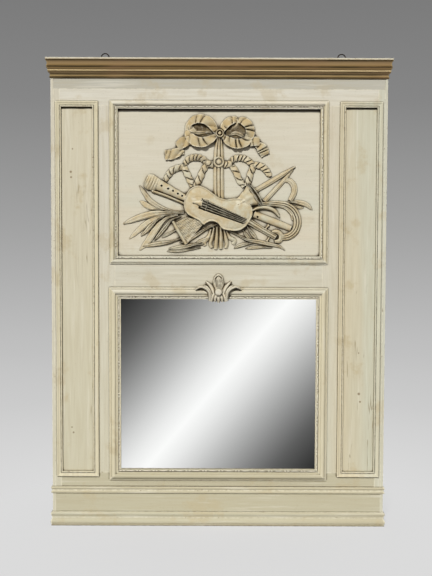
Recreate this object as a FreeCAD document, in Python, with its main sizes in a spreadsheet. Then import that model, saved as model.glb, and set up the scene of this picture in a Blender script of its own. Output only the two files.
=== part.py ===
import FreeCAD, Part
import math
import os

import Sketcher

# Trumeau mirror: a painted panel that stands on a mantelpiece, with a carved
# trophy in the upper field, a mirror in the lower one and a narrow panel at
# each side. All sizes are in millimetres. +Z is up, the front faces -Y and
# +X is to the right for someone who looks at the front. The origin is the
# centre of the plinth board's lower face, midway through its thickness.

SIZES = {
    # the carcass, across
    "body_width": 1250.0,
    "side_board_thick": 10.0,
    "stile_width": 23.0,
    "side_opening": 127.0,
    "muntin_width": 77.0,
    # the carcass, from front to wall
    "body_depth": 50.0,
    "frame_thick": 26.0,
    "frieze_setback": 1.0,
    # the carcass, from the bottom up
    "plinth_height": 137.0,
    "bottom_rail_height": 67.0,
    "mirror_opening": 680.0,
    "mid_rail_height": 128.0,
    "trophy_opening": 568.0,
    "top_rail_height": 61.0,
    "frieze_height": 108.0,
    "top_board_thick": 5.0,
    # what holds the frame together
    "tenon_thick": 9.0,
    "tenon_length": 30.0,
    "stile_tenon_length": 15.0,
    "tenon_inset": 12.0,
    "joint_gap": 0.2,
    "peg_radius": 4.0,
    "peg_gap": 0.1,
    "peg_cover": 5.0,
    "batten_height": 45.0,
    # the panels in their grooves
    "panel_thick": 8.0,
    "groove_depth": 8.0,
    "groove_gap": 1.0,
    "side_recess": 4.0,
    "trophy_recess": 6.0,
    # the glass and what backs it
    "glass_thick": 4.0,
    "glass_gap": 2.0,
    "back_board_thick": 6.0,
    "retaining_strip": 12.0,
    # the mouldings round the openings
    "side_mould_width": 21.0,
    "side_mould_height": 8.0,
    "side_mould_lip": 5.0,
    "trophy_mould_width": 30.0,
    "trophy_mould_height": 12.0,
    "trophy_mould_lip": 11.0,
    "mirror_mould_width": 44.0,
    "mirror_mould_height": 18.0,
    "mirror_mould_lip": 22.0,
    "mirror_mould_rise": 15.0,
    # the beaded strips on them
    "pearl_radius": 4.6,
    "pearl_pitch": 11.5,
    "pearl_neck": 2.4,
    "spindle_length": 38.0,
    # the mouldings of the foot and the head
    "cornice_height": 70.0,
    "cornice_projection": 17.0,
    "dado_height": 25.0,
    "dado_projection": 6.0,
    "dado_cover": 13.0,
    "base_mould_height": 54.0,
    "base_mould_projection": 8.0,
    # the hanging rings
    "strap_thick": 1.5,
    "strap_width": 12.0,
    "strap_length": 48.0,
    "strap_left_place": 200.0,
    "strap_right_place": 170.0,
    "eye_drop": 4.2,
    "ring_wire_radius": 2.0,
    "ring_radius": 14.5,
    "ring_bar_drop": 10.0,
    "ring_running_gap": 0.05,
    "screw_radius": 1.8,
    "screw_length": 16.0,
    "screw_head_radius": 3.2,
    "screw_head_height": 1.4,
    # the carving
    "trophy_span": 705.0,
    "trophy_edge_gap": 2.0,
    "violin_relief": 24.0,
    "string_bar_relief": 6.0,
    "recorder_relief": 27.0,
    "ribbon_relief": 22.0,
    "staff_relief": 12.0,
    "garland_relief": 13.0,
    "flute_relief": 15.0,
    "neck_relief": 15.0,
    "horn_relief": 16.0,
    "trumpet_relief": 24.0,
    "book_relief": 14.0,
    "triangle_relief": 11.0,
    "laurel_relief": 8.0,
    "neck_width": 17.0,
    "flute_width": 26.0,
    "horn_width": 22.0,
    "crook_width": 15.0,
    "bow_tail_width": 34.0,
    "book_roll_width": 13.0,
    "staff_width": 40.0,
    "garland_width": 20.0,
    "triangle_bar_width": 14.0,
    "arch_width": 17.0,
    "knot_radius": 15.0,
    "rosette_radius": 19.0,
    "ornament_width": 188.0,
    "ornament_height": 109.0,
    "ornament_relief": 34.0,
    "ornament_drop": 13.0,
    "ornament_ball_radius": 13.0,
}

doc = FreeCAD.newDocument("TrumeauMirror")
sheet = doc.addObject("Spreadsheet::Sheet", "Sizes")
for row, (alias, number) in enumerate(SIZES.items(), start=1):
    sheet.set(f"A{row}", alias)
    sheet.set(f"B{row}", str(number))
    sheet.setAlias(f"B{row}", alias)
doc.recompute()

PIECES = []


class Size:
    """A number of millimetres together with the expression that gives it."""

    def __init__(self, value, text):
        self.value = value
        self.text = text

    def __add__(self, other):
        other = as_size(other)
        return Size(self.value + other.value, f"({self.text} + {other.text})")

    def __sub__(self, other):
        other = as_size(other)
        return Size(self.value - other.value, f"({self.text} - {other.text})")

    def __mul__(self, other):
        other = as_size(other)
        return Size(self.value * other.value, f"({self.text} * {other.text})")

    def __truediv__(self, other):
        other = as_size(other)
        return Size(self.value / other.value, f"({self.text} / {other.text})")

    def __neg__(self):
        return Size(-self.value, f"(-1 * {self.text})")


def as_size(number):
    """The number as a Size, for one that is written in the code."""
    return number if isinstance(number, Size) else Size(number, f"({number!r})")


def cell(alias):
    """The Size that a cell of the sheet holds."""
    return Size(float(sheet.get(alias)), f"Sizes.{alias}")


def leg_of(slant, leg):
    """The other leg of the right triangle with this slant and this leg."""
    length = math.sqrt(slant.value ** 2 - leg.value ** 2)
    return Size(length, f"sqrt({slant.text}^2 - {leg.text}^2)")


def diagonal(across, along):
    """The length of the line that covers both steps."""
    length = math.hypot(across.value, along.value)
    return Size(length, f"sqrt({across.text}^2 + {along.text}^2)")


# Planes that several pieces share, each worked out from the sheet.
HALF_BODY = cell("body_width") / 2
BOARD_FACE = HALF_BODY - cell("side_board_thick")
STILE_EDGE = BOARD_FACE - cell("stile_width")
MUNTIN_OUTER = STILE_EDGE - cell("side_opening")
MUNTIN_INNER = MUNTIN_OUTER - cell("muntin_width")

BACK = cell("frame_thick") / 2
FRONT = -BACK
WALL = FRONT + cell("body_depth")

FLOOR = as_size(0.0)
PLINTH_TOP = cell("plinth_height")
LOWER_EDGE = PLINTH_TOP + cell("bottom_rail_height")
MIRROR_TOP = LOWER_EDGE + cell("mirror_opening")
TROPHY_BASE = MIRROR_TOP + cell("mid_rail_height")
UPPER_EDGE = TROPHY_BASE + cell("trophy_opening")
FRIEZE_BASE = UPPER_EDGE + cell("top_rail_height")
CARCASS_TOP = FRIEZE_BASE + cell("frieze_height")
CORNICE_BASE = CARCASS_TOP - cell("cornice_height")
OVERALL_TOP = CARCASS_TOP + cell("top_board_thick")


def bind(thing, prop, size):
    """Tie one property to the sheet."""
    thing.setExpression(prop, as_size(size).text)


def bind_place(thing, x, y, z):
    """Tie the place of a piece to the sheet."""
    for axis, size in (("x", x), ("y", y), ("z", z)):
        bind(thing, "Placement.Base." + axis, size)


def keep(label, thing):
    """Name a finished piece, so that it is written out under that name."""
    thing.Label = label
    PIECES.append(thing)
    return thing


def block(x, y, z):
    """A squared piece between a low and a high plane along each axis."""
    piece = doc.addObject("Part::Box", "Block")
    for prop, (low, high) in (("Length", x), ("Width", y), ("Height", z)):
        bind(piece, prop, high - low)
    bind_place(piece, x[0], y[0], z[0])
    return piece


def rod(radius, length, x, y, z, axis):
    """A round bar from a point along an axis."""
    piece = doc.addObject("Part::Cylinder", "Rod")
    bind(piece, "Radius", radius)
    bind(piece, "Height", length)
    turn = FreeCAD.Rotation(FreeCAD.Vector(0, 0, 1), axis)
    piece.Placement = FreeCAD.Placement(FreeCAD.Vector(), turn)
    bind_place(piece, x, y, z)
    return piece


def union(*solids):
    """One solid made of several that touch."""
    piece = doc.addObject("Part::MultiFuse", "Union")
    piece.Shapes = list(solids)
    piece.Refine = True
    return piece


def cut(base, *tools):
    """What is left of a solid when the tools are taken out of it."""
    piece = doc.addObject("Part::Cut", "Cut")
    piece.Base = base
    piece.Tool = tools[0] if len(tools) == 1 else union(*tools)
    piece.Refine = True
    return piece


def group(label, solids):
    """Separate solids of one kind that share a name."""
    piece = doc.addObject("Part::Compound", "Group")
    piece.Links = list(solids)
    return keep(label, piece)


def mirrored_span(side, inner, outer):
    """The span between two distances from the middle, on one side."""
    return (inner, outer) if side > 0 else (-outer, -inner)


SIDES = (("left", -1), ("right", 1))
THROUGH = (FRONT, BACK)


# --- where the hangers are screwed on ------------------------------------

# each strap's place is its distance from its own side of the body
STRAPS = (("left", cell("strap_left_place") - HALF_BODY),
          ("right", HALF_BODY - cell("strap_right_place")))
RING_PIVOT = OVERALL_TOP - cell("eye_drop")
BORE_RADIUS = cell("ring_wire_radius") + cell("ring_running_gap")
EYE_RADIUS = BORE_RADIUS + cell("strap_thick")
STRAP_FACE = BACK + cell("strap_thick")
SCREW_STEPS = (0.3, 0.8)


def screw_heights():
    """How high the two screws of a strap are."""
    return [RING_PIVOT - cell("strap_length") * step for step in SCREW_STEPS]


def screw_shank(radius, place, height):
    """The straight part of a screw, or its hole, forwards from the strap."""
    return rod(radius, cell("screw_length"), place, STRAP_FACE, height, FreeCAD.Vector(0, -1, 0))


def screw_holes(place):
    """The two screw holes of one strap."""
    radius = cell("screw_radius") + cell("peg_gap")
    return [screw_shank(radius, place, height) for height in screw_heights()]


# --- the carcass ---------------------------------------------------------

TENON_Y = (-(cell("tenon_thick") / 2), cell("tenon_thick") / 2)
SIDE_PANEL_Y = (FRONT + cell("side_recess"), FRONT + cell("side_recess") + cell("panel_thick"))
TROPHY_PANEL_Y = (FRONT + cell("trophy_recess"),
                  FRONT + cell("trophy_recess") + cell("panel_thick"))
TENON_INSET = cell("tenon_inset")
TENON_LENGTH = cell("tenon_length")
STILE_TENON = cell("stile_tenon_length")
JOINT_GAP = cell("joint_gap")
GROOVE = cell("groove_depth")
MUNTIN_MIDDLE = (MUNTIN_INNER + MUNTIN_OUTER) / 2


def rail_tenon(side, edge, length, low, high):
    """The tongue at one end of a rail, and with a gap also its mortise."""
    return block(mirrored_span(side, edge, edge + length), TENON_Y,
                 (low + TENON_INSET, high - TENON_INSET))


def muntin_tenon(side, low, high):
    """The tongue at the foot or the head of a muntin."""
    across = mirrored_span(side, MUNTIN_INNER + TENON_INSET, MUNTIN_OUTER - TENON_INSET)
    return block(across, TENON_Y, (low, high))


def peg_rod(radius, x, z):
    """A round peg or its hole, from the back to just short of the front."""
    length = cell("frame_thick") - cell("peg_cover")
    return rod(radius, length, x, BACK, z, FreeCAD.Vector(0, -1, 0))


def peg_places():
    """Where each mortise and tenon is pegged, by the name of the joint."""
    rail_x = STILE_EDGE + STILE_TENON / 2
    lock_x = MUNTIN_INNER + TENON_LENGTH / 2
    places = {}
    for name, side in SIDES:
        places["bottom_" + name] = (rail_x * side, (PLINTH_TOP + LOWER_EDGE) / 2)
        places["top_" + name] = (rail_x * side, (UPPER_EDGE + FRIEZE_BASE) / 2)
        places["lock_" + name] = (lock_x * side, (MIRROR_TOP + TROPHY_BASE) / 2)
        places["foot_" + name] = (MUNTIN_MIDDLE * side, LOWER_EDGE - TENON_LENGTH / 2)
        places["head_" + name] = (MUNTIN_MIDDLE * side, UPPER_EDGE + TENON_LENGTH / 2)
    return places


PEGS = peg_places()


def peg_holes(*joints):
    """The holes for the named pegs, wider than the pegs by their clearance."""
    radius = cell("peg_radius") + cell("peg_gap")
    return [peg_rod(radius, *PEGS[joint]) for joint in joints]


def side_groove(side):
    """The groove round a side opening that its panel slides into."""
    across = mirrored_span(side, MUNTIN_OUTER - GROOVE, STILE_EDGE + GROOVE)
    return block(across, SIDE_PANEL_Y, (LOWER_EDGE - GROOVE, UPPER_EDGE + GROOVE))


def trophy_groove():
    """The groove round the upper opening."""
    reach = MUNTIN_INNER + GROOVE
    return block((-reach, reach), TROPHY_PANEL_Y, (TROPHY_BASE - GROOVE, UPPER_EDGE + GROOVE))


def make_side_boards():
    """The boards that close the sides, from the front back to the wall."""
    for name, side in SIDES:
        across = mirrored_span(side, BOARD_FACE, HALF_BODY)
        keep("side_board_" + name, block(across, (FRONT, WALL), (FLOOR, CARCASS_TOP)))


def make_stiles():
    """The outer uprights, mortised for both rails and grooved for a panel."""
    for name, side in SIDES:
        across = mirrored_span(side, STILE_EDGE, BOARD_FACE)
        stile = block(across, THROUGH, (PLINTH_TOP, FRIEZE_BASE))
        reach = STILE_TENON + JOINT_GAP
        mortises = [rail_tenon(side, STILE_EDGE, reach, PLINTH_TOP, LOWER_EDGE),
                    rail_tenon(side, STILE_EDGE, reach, UPPER_EDGE, FRIEZE_BASE)]
        holes = peg_holes("bottom_" + name, "top_" + name)
        keep("stile_" + name, cut(stile, side_groove(side), *mortises, *holes))


def make_muntins():
    """The inner uprights, tenoned into both rails."""
    for name, side in SIDES:
        across = mirrored_span(side, MUNTIN_INNER, MUNTIN_OUTER)
        upright = union(block(across, THROUGH, (LOWER_EDGE, UPPER_EDGE)),
                        muntin_tenon(side, LOWER_EDGE - TENON_LENGTH, LOWER_EDGE),
                        muntin_tenon(side, UPPER_EDGE, UPPER_EDGE + TENON_LENGTH))
        lock = rail_tenon(side, MUNTIN_INNER, TENON_LENGTH + JOINT_GAP, MIRROR_TOP, TROPHY_BASE)
        holes = peg_holes("foot_" + name, "head_" + name, "lock_" + name)
        keep("muntin_" + name, cut(upright, side_groove(side), trophy_groove(), lock, *holes))


def tenoned_rail(edge, length, low, high):
    """A rail with a tongue at each end."""
    return union(block((-edge, edge), THROUGH, (low, high)),
                 rail_tenon(-1, edge, length, low, high),
                 rail_tenon(1, edge, length, low, high))


def make_rails():
    """The three cross members of the frame."""
    reach = TENON_LENGTH + JOINT_GAP
    feet = [muntin_tenon(side, LOWER_EDGE - reach, LOWER_EDGE) for _, side in SIDES]
    heads = [muntin_tenon(side, UPPER_EDGE, UPPER_EDGE + reach) for _, side in SIDES]
    grooves = [side_groove(side) for _, side in SIDES]
    keep("bottom_rail", cut(
        tenoned_rail(STILE_EDGE, STILE_TENON, PLINTH_TOP, LOWER_EDGE), *feet, *grooves,
        *peg_holes("bottom_left", "bottom_right", "foot_left", "foot_right")))
    keep("mid_rail", cut(
        tenoned_rail(MUNTIN_INNER, TENON_LENGTH, MIRROR_TOP, TROPHY_BASE), trophy_groove(),
        *peg_holes("lock_left", "lock_right")))
    keep("top_rail", cut(
        tenoned_rail(STILE_EDGE, STILE_TENON, UPPER_EDGE, FRIEZE_BASE), trophy_groove(),
        *heads, *grooves, *peg_holes("top_left", "top_right", "head_left", "head_right")))


def make_foot_and_frieze():
    """The plinth board under the frame and the frieze board on top of it."""
    across = (-BOARD_FACE, BOARD_FACE)
    keep("plinth_board", block(across, THROUGH, (FLOOR, PLINTH_TOP)))
    shown = block(across, (FRONT, FRONT + cell("frieze_setback")), (FRIEZE_BASE, CORNICE_BASE))
    board = block(across, THROUGH, (FRIEZE_BASE, CARCASS_TOP))
    holes = [hole for _, place in STRAPS for hole in screw_holes(place)]
    keep("frieze_board", cut(board, shown, *holes))


def make_panels():
    """The thin panels that sit loose in the grooves."""
    reach = GROOVE - cell("groove_gap")
    high = (LOWER_EDGE - GROOVE, UPPER_EDGE + reach)
    for name, side in SIDES:
        across = mirrored_span(side, MUNTIN_OUTER - reach, STILE_EDGE + reach)
        keep("side_panel_" + name, block(across, SIDE_PANEL_Y, high))
    reach_x = MUNTIN_INNER + reach
    keep("trophy_panel", block((-reach_x, reach_x), TROPHY_PANEL_Y,
                               (TROPHY_BASE - GROOVE, UPPER_EDGE + reach)))


def make_fastening():
    """The pegs of the joints and the two battens across the back."""
    group("joint_pegs", [peg_rod(cell("peg_radius"), *place) for place in PEGS.values()])
    half = cell("batten_height") / 2
    across = (-BOARD_FACE, BOARD_FACE)
    middles = {"lower": (PLINTH_TOP + LOWER_EDGE) / 2, "upper": (UPPER_EDGE + FRIEZE_BASE) / 2}
    for name, middle in middles.items():
        keep("rear_batten_" + name, block(across, (BACK, WALL), (middle - half, middle + half)))


# --- the mirror ----------------------------------------------------------

def make_mirror():
    """The silvered glass, the board behind it and the strips that hold both."""
    reach = MUNTIN_INNER - cell("glass_gap")
    high = (LOWER_EDGE, MIRROR_TOP - cell("glass_gap"))
    glass_back = FRONT + cell("glass_thick")
    board_back = glass_back + cell("back_board_thick")
    keep("mirror_glass", block((-reach, reach), (FRONT, glass_back), high))
    keep("mirror_back_board", block((-reach, reach), (glass_back, board_back), high))
    strip = cell("retaining_strip")
    deep = (board_back, BACK)
    whole = (-MUNTIN_INNER, MUNTIN_INNER)
    between = (LOWER_EDGE + strip, MIRROR_TOP - strip)
    strips = [block(whole, deep, (LOWER_EDGE, between[0])),
              block(whole, deep, (between[1], MIRROR_TOP))]
    for _, side in SIDES:
        across = mirrored_span(side, MUNTIN_INNER - strip, MUNTIN_INNER)
        strips.append(block(across, deep, between))
    group("mirror_retaining_strips", strips)


# --- mouldings -----------------------------------------------------------

def plane_of(body, role):
    """One of a body's own origin planes."""
    return next(item for item in body.Origin.OriginFeatures if item.Role == role)


def new_sketch(body, role):
    """An empty sketch on one of the body's origin planes."""
    sketch = body.newObject("Sketcher::SketchObject", "Sketch")
    sketch.AttachmentSupport = [(plane_of(body, role), "")]
    sketch.MapMode = "FlatFace"
    return sketch


def turning(points):
    """1 for corners that run anticlockwise, -1 for clockwise ones."""
    area = sum(a.x * b.y - b.x * a.y for a, b in zip(points, points[1:] + points[:1]))
    return 1 if area > 0 else -1


def arc_edge(start, end, bulge, turn):
    """An arc that bows outwards (bulge > 0) or inwards, and its end numbers."""
    chord = end - start
    outward = FreeCAD.Vector(chord.y, -chord.x, 0) * (turn / chord.Length)
    radius = chord.Length * (1 + bulge * bulge) / (4 * abs(bulge))
    rise = bulge * chord.Length / 2
    centre = (start + end) * 0.5 + outward * (rise - math.copysign(radius, rise))
    circle = Part.Circle(centre, FreeCAD.Vector(0, 0, 1), radius)
    angles = [math.atan2(point.y - centre.y, point.x - centre.x) for point in (start, end)]
    forwards = (turn > 0) == (bulge > 0)
    if forwards:
        return Part.ArcOfCircle(circle, angles[0], angles[1]), 1, 2
    return Part.ArcOfCircle(circle, angles[1], angles[0]), 2, 1


def draw_outline(sketch, corners):
    """A closed outline of (x, y, bulge) corners, each tied to the sheet.

    The bulge belongs to the edge that arrives at the corner: 0 is a straight
    edge, 1 a half circle that bows outwards, and a minus sign hollows it.
    """
    points = [FreeCAD.Vector(x.value, y.value, 0) for x, y, _ in corners]
    turn = turning(points)
    ends = []
    for index, (_, _, bulge) in enumerate(corners):
        start, end = points[index - 1], points[index]
        if bulge:
            edge, start_end, end_end = arc_edge(start, end, bulge, turn)
        else:
            edge, start_end, end_end = Part.LineSegment(start, end), 1, 2
        ends.append((sketch.addGeometry(edge, False), start_end, end_end))
    rules, ties = [], []
    for index, (x, y, bulge) in enumerate(corners):
        edge, _, end_end = ends[index]
        follower, follower_start, _ = ends[(index + 1) % len(ends)]
        rules.append(Sketcher.Constraint("Coincident", edge, end_end, follower, follower_start))
        for kind, axis, size in (("DistanceX", -2, x), ("DistanceY", -1, y)):
            if size.value == 0:
                rules.append(Sketcher.Constraint("PointOnObject", edge, end_end, axis))
            else:
                ties.append((len(rules), size))
                rules.append(Sketcher.Constraint(kind, -1, 1, edge, end_end, size.value))
        if bulge:
            before = corners[index - 1]
            chord = diagonal(x - before[0], y - before[1])
            radius = chord * ((1 + bulge * bulge) / (4 * abs(bulge)))
            ties.append((len(rules), radius))
            rules.append(Sketcher.Constraint("Radius", edge, radius.value))
    base = sketch.ConstraintCount
    sketch.addConstraint(rules)
    for offset, size in ties:
        sketch.setExpression(f"Constraints[{base + offset}]", size.text)


# A mitre's cut is this many times as tall as it is wide.
MITRE_REACH = 20


def moulding(outline, length, plane, leg, ends):
    """A run of moulding along X, standing out along Y, with mitred ends.

    The mitre takes a triangle off each named end in the given plane.
    """
    body = doc.addObject("PartDesign::Body", "Moulding")
    profile = new_sketch(body, "YZ_Plane")
    draw_outline(profile, outline)
    pad = body.newObject("PartDesign::Pad", "Run")
    pad.Profile = profile
    bind(pad, "Length", length)
    triangles = new_sketch(body, plane)
    zero = as_size(0.0)
    corners = {
        "start": [(zero, zero, 0), (leg, zero, 0), (zero, leg, 0)],
        "end": [(length - leg, zero, 0), (length, zero, 0), (length, leg, 0)],
    }
    for end in ends:
        draw_outline(triangles, corners[end])
    mitre = body.newObject("PartDesign::Pocket", "Mitre")
    mitre.Profile = triangles
    mitre.SideType = "Symmetric"
    bind(mitre, "Length", leg * MITRE_REACH)
    body.Tip = mitre
    return body


def stand(body, turn, x, y, z):
    """Turn a piece and tie its place to the sheet."""
    body.Placement = FreeCAD.Placement(FreeCAD.Vector(), turn)
    bind_place(body, x, y, z)
    return body


UP = FreeCAD.Vector(0, 0, 1)
DEEP = FreeCAD.Vector(0, 1, 0)
FACING = FreeCAD.Rotation(UP, 180)

# Faces of the mouldings, from the outer edge to the inner one, each corner
# as a share of the width, a share of the height and the bulge of its edge.
SIDE_FACE = ((1.0, 0.6, 0), (0.82, 1.0, 0.35), (0.72, 0.85, 0), (0.45, 0.62, -0.15),
             (0.32, 0.62, 0), (0.27, 0.3, 0), (0.22, 0.3, 0), (0.2, 0.5, 0), (0.0, 0.5, 0.7))
TROPHY_FACE = ((1.0, 0.4, 0), (0.9, 0.4, 0), (0.87, 0.6, 0), (0.5, 0.85, 0.5),
               (0.45, 0.55, 0), (0.38, 0.55, 0), (0.34, 0.3, 0), (0.0, 0.3, 0))
MIRROR_FACE = ((1.0, 0.25, 0), (0.94, 0.25, 0), (0.9, 0.45, 0), (0.82, 0.45, 0),
               (0.8, 0.7, 0), (0.44, 0.8, 0.55), (0.42, 0.6, 0), (0.26, 0.5, -0.3),
               (0.24, 0.35, 0), (0.0, 0.35, 0))

# Faces of the horizontal mouldings, from the lower edge up, each corner as
# a share of the projection, a share of the height and the bulge of its edge.
CORNICE_FACE = ((0.1, 0.0, 0), (0.1, 0.04, 0), (0.2, 0.04, 0), (0.2, 0.09, 0.8),
                (0.17, 0.1, 0), (0.4, 0.3, -0.35), (0.47, 0.31, 0), (0.47, 0.35, 0.6),
                (0.5, 0.36, 0), (0.58, 0.37, 0), (0.58, 0.44, 0), (0.5, 0.45, 0),
                (0.76, 0.69, 0.3), (0.97, 0.93, -0.3), (1.0, 0.94, 0), (1.0, 1.0, 0))
DADO_FACE = ((0.7, 0.0, 0), (0.8, 0.26, 0.3), (0.55, 0.32, 0), (0.6, 0.62, -0.3),
             (0.88, 0.68, 0), (0.88, 0.86, 0.3), (0.5, 1.0, 0.2))
BASE_FACE = ((0.7, 0.0, 0), (0.7, 0.17, 0), (0.86, 0.18, 0), (0.86, 0.38, 0.2),
             (0.8, 0.4, 0), (0.6, 0.72, -0.25), (0.75, 0.76, 0), (0.65, 0.95, 0.35),
             (0.2, 1.0, 0))


def frame_outline(width, height, recess, lip, face):
    """The section of a mitred frame: a lip that drops to the panel, a seat
    on the frame and the moulded face. X is out, Y is across from the sight."""
    zero = as_size(0.0)
    if recess is None:
        seat = [(zero, zero, 0), (zero, width, 0)]
        out = zero
    else:
        seat = [(zero, zero, 0), (zero, lip, 0), (recess, lip, 0), (recess, width, 0)]
        out = recess
    return seat + [(out + height * high, width * across if across else zero, bulge)
                   for across, high, bulge in face]


def mitred_frame(outline, width, middle, half, low, high, seat):
    """The four lengths of moulding round an opening, by the side they are on."""
    places = {
        "top": (0, half * 2, middle + half + width, high),
        "bottom": (180, half * 2, middle - half - width, low),
        "right": (90, high - low, middle + half, low - width),
        "left": (-90, high - low, middle - half, high + width),
    }
    lengths = {}
    for name, (angle, inner, x, z) in places.items():
        body = moulding(outline, inner + width * 2, "XZ_Plane", width, ("start", "end"))
        lengths[name] = stand(body, FreeCAD.Rotation(DEEP, angle) * FACING, x, seat, z)
    return lengths


def make_side_mouldings():
    """The mitred moulding round each narrow panel."""
    width, recess, lip = cell("side_mould_width"), cell("side_recess"), cell("side_mould_lip")
    outline = frame_outline(width, cell("side_mould_height"), recess, lip, SIDE_FACE)
    half = cell("side_opening") / 2 - lip
    for name, side in SIDES:
        middle = (MUNTIN_OUTER + STILE_EDGE) / 2 * side
        lengths = mitred_frame(outline, width, middle, half, LOWER_EDGE + lip,
                               UPPER_EDGE - lip, FRONT + recess)
        group(name + "_panel_moulding", lengths.values())


TROPHY_SIGHT = MUNTIN_INNER - cell("trophy_mould_lip")
TROPHY_LOW = TROPHY_BASE + cell("trophy_mould_lip")
TROPHY_HIGH = UPPER_EDGE - cell("trophy_mould_lip")
MIRROR_SIGHT = MUNTIN_INNER - cell("mirror_mould_lip")
MIRROR_LOW = LOWER_EDGE + cell("mirror_mould_rise")
MIRROR_HIGH = MIRROR_TOP - cell("mirror_mould_lip")


def make_centre_mouldings():
    """The mitred mouldings round the carved panel and round the mirror."""
    zero = as_size(0.0)
    width, recess = cell("trophy_mould_width"), cell("trophy_recess")
    outline = frame_outline(width, cell("trophy_mould_height"), recess,
                            cell("trophy_mould_lip"), TROPHY_FACE)
    lengths = mitred_frame(outline, width, zero, TROPHY_SIGHT, TROPHY_LOW, TROPHY_HIGH,
                           FRONT + recess)
    for name, body in lengths.items():
        keep("trophy_moulding_" + name, body)
    width = cell("mirror_mould_width")
    outline = frame_outline(width, cell("mirror_mould_height"), None, None, MIRROR_FACE)
    lengths = mitred_frame(outline, width, zero, MIRROR_SIGHT, MIRROR_LOW, MIRROR_HIGH, FRONT)
    for name, body in lengths.items():
        keep("mirror_moulding_" + name, body)


# Where the chamfers of a bead end, as shares of its length.
BEAD_STEPS = (0.22, 0.78)


def bead_strip(length):
    """A half-round strip along X of pearls in pairs with a spindle between."""
    radius, neck = cell("pearl_radius").value, cell("pearl_neck").value
    pitch, spindle = cell("pearl_pitch").value, cell("spindle_length").value
    count = max(1, round(length.value / (2 * pitch + spindle)))
    spindle = length.value / count - 2 * pitch
    corners = [(0, 0, 0), (0, neck, 0)]
    x = 0.0
    for step in (spindle / 2, pitch, pitch, spindle / 2) * count:
        corners += [(x + step * share, radius, 0) for share in BEAD_STEPS]
        x += step
        corners.append((x, neck, 0))
    corners += [(x, 0, 0), (0, 0, 0)]
    face = Part.Face(Part.makePolygon([FreeCAD.Vector(*corner) for corner in corners]))
    strip = doc.addObject("Part::Feature", "BeadStrip")
    strip.Shape = face.revolve(FreeCAD.Vector(), FreeCAD.Vector(1, 0, 0), 180)
    return strip


def beaded_frame(label, half, low, high, seat):
    """Four bead strips that butt at the corners, just outside the sight."""
    radius = cell("pearl_radius")
    flat = FreeCAD.Rotation(FreeCAD.Vector(1, 0, 0), 90)
    upright = FreeCAD.Rotation(DEEP, -90) * flat
    across = (half + radius * 2) * 2
    strips = [stand(bead_strip(across), flat, -(across / 2), seat, low - radius),
              stand(bead_strip(across), flat, -(across / 2), seat, high + radius)]
    for side in (-1, 1):
        strips.append(stand(bead_strip(high - low), upright, (half + radius) * side, seat, low))
    group(label, strips)


def make_beads():
    """The beaded strips inside both centre mouldings."""
    trophy_seat = FRONT - cell("trophy_mould_height") * TROPHY_FACE[-1][1]
    beaded_frame("trophy_bead_strips", TROPHY_SIGHT, TROPHY_LOW, TROPHY_HIGH, trophy_seat)
    mirror_seat = FRONT - cell("mirror_mould_height") * MIRROR_FACE[-1][1]
    beaded_frame("mirror_bead_strips", MIRROR_SIGHT, MIRROR_LOW, MIRROR_HIGH, mirror_seat)


def girdle(prefix, projection, height, face, low):
    """A horizontal moulding across the front, returned along both sides."""
    zero = as_size(0.0)
    outline = [(zero, zero, 0)]
    outline += [(projection * out, height * up if up else zero, bulge) for out, up, bulge in face]
    outline.append((zero, height, 0))
    front = moulding(outline, cell("body_width") + projection * 2, "XY_Plane", projection,
                     ("start", "end"))
    keep(prefix + "_front", stand(front, FACING, HALF_BODY + projection, FRONT, low))
    depth = cell("body_depth") + projection
    left = moulding(outline, depth, "XY_Plane", projection, ("start",))
    keep(prefix + "_return_left", stand(left, FreeCAD.Rotation(UP, 90), -HALF_BODY,
                                        FRONT - projection, low))
    right = moulding(outline, depth, "XY_Plane", projection, ("end",))
    keep(prefix + "_return_right", stand(right, FreeCAD.Rotation(UP, -90), HALF_BODY, WALL, low))


def make_girdles():
    """The cornice with its top board, and the two mouldings of the foot."""
    projection = cell("cornice_projection")
    girdle("cornice", projection, cell("cornice_height"), CORNICE_FACE, CORNICE_BASE)
    reach = HALF_BODY + projection
    rise = (CARCASS_TOP, OVERALL_TOP)
    boards = [block((-reach, reach), (FRONT - projection, BACK), rise)]
    for _, side in SIDES:
        boards.append(block(mirrored_span(side, BOARD_FACE, reach), (BACK, WALL), rise))
    group("cornice_top_board", boards)
    girdle("dado_moulding", cell("dado_projection"), cell("dado_height"), DADO_FACE,
           PLINTH_TOP + cell("dado_cover") - cell("dado_height"))
    girdle("base_moulding", cell("base_mould_projection"), cell("base_mould_height"),
           BASE_FACE, FLOOR)


# --- the hanging rings ---------------------------------------------------

def make_strap(name, place):
    """A plate folded round a ring's bar and screwed to the frieze board."""
    half = cell("strap_width") / 2
    across = (place - half, place + half)
    plate = block(across, (BACK, STRAP_FACE), (RING_PIVOT - cell("strap_length"), RING_PIVOT))
    along = FreeCAD.Vector(1, 0, 0)
    fold_y = BACK + EYE_RADIUS
    eye = rod(EYE_RADIUS, cell("strap_width"), place - half, fold_y, RING_PIVOT, along)
    bore = rod(BORE_RADIUS, cell("strap_width"), place - half, fold_y, RING_PIVOT, along)
    keep("hanger_strap_" + name, cut(union(plate, eye), bore, *screw_holes(place)))


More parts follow.
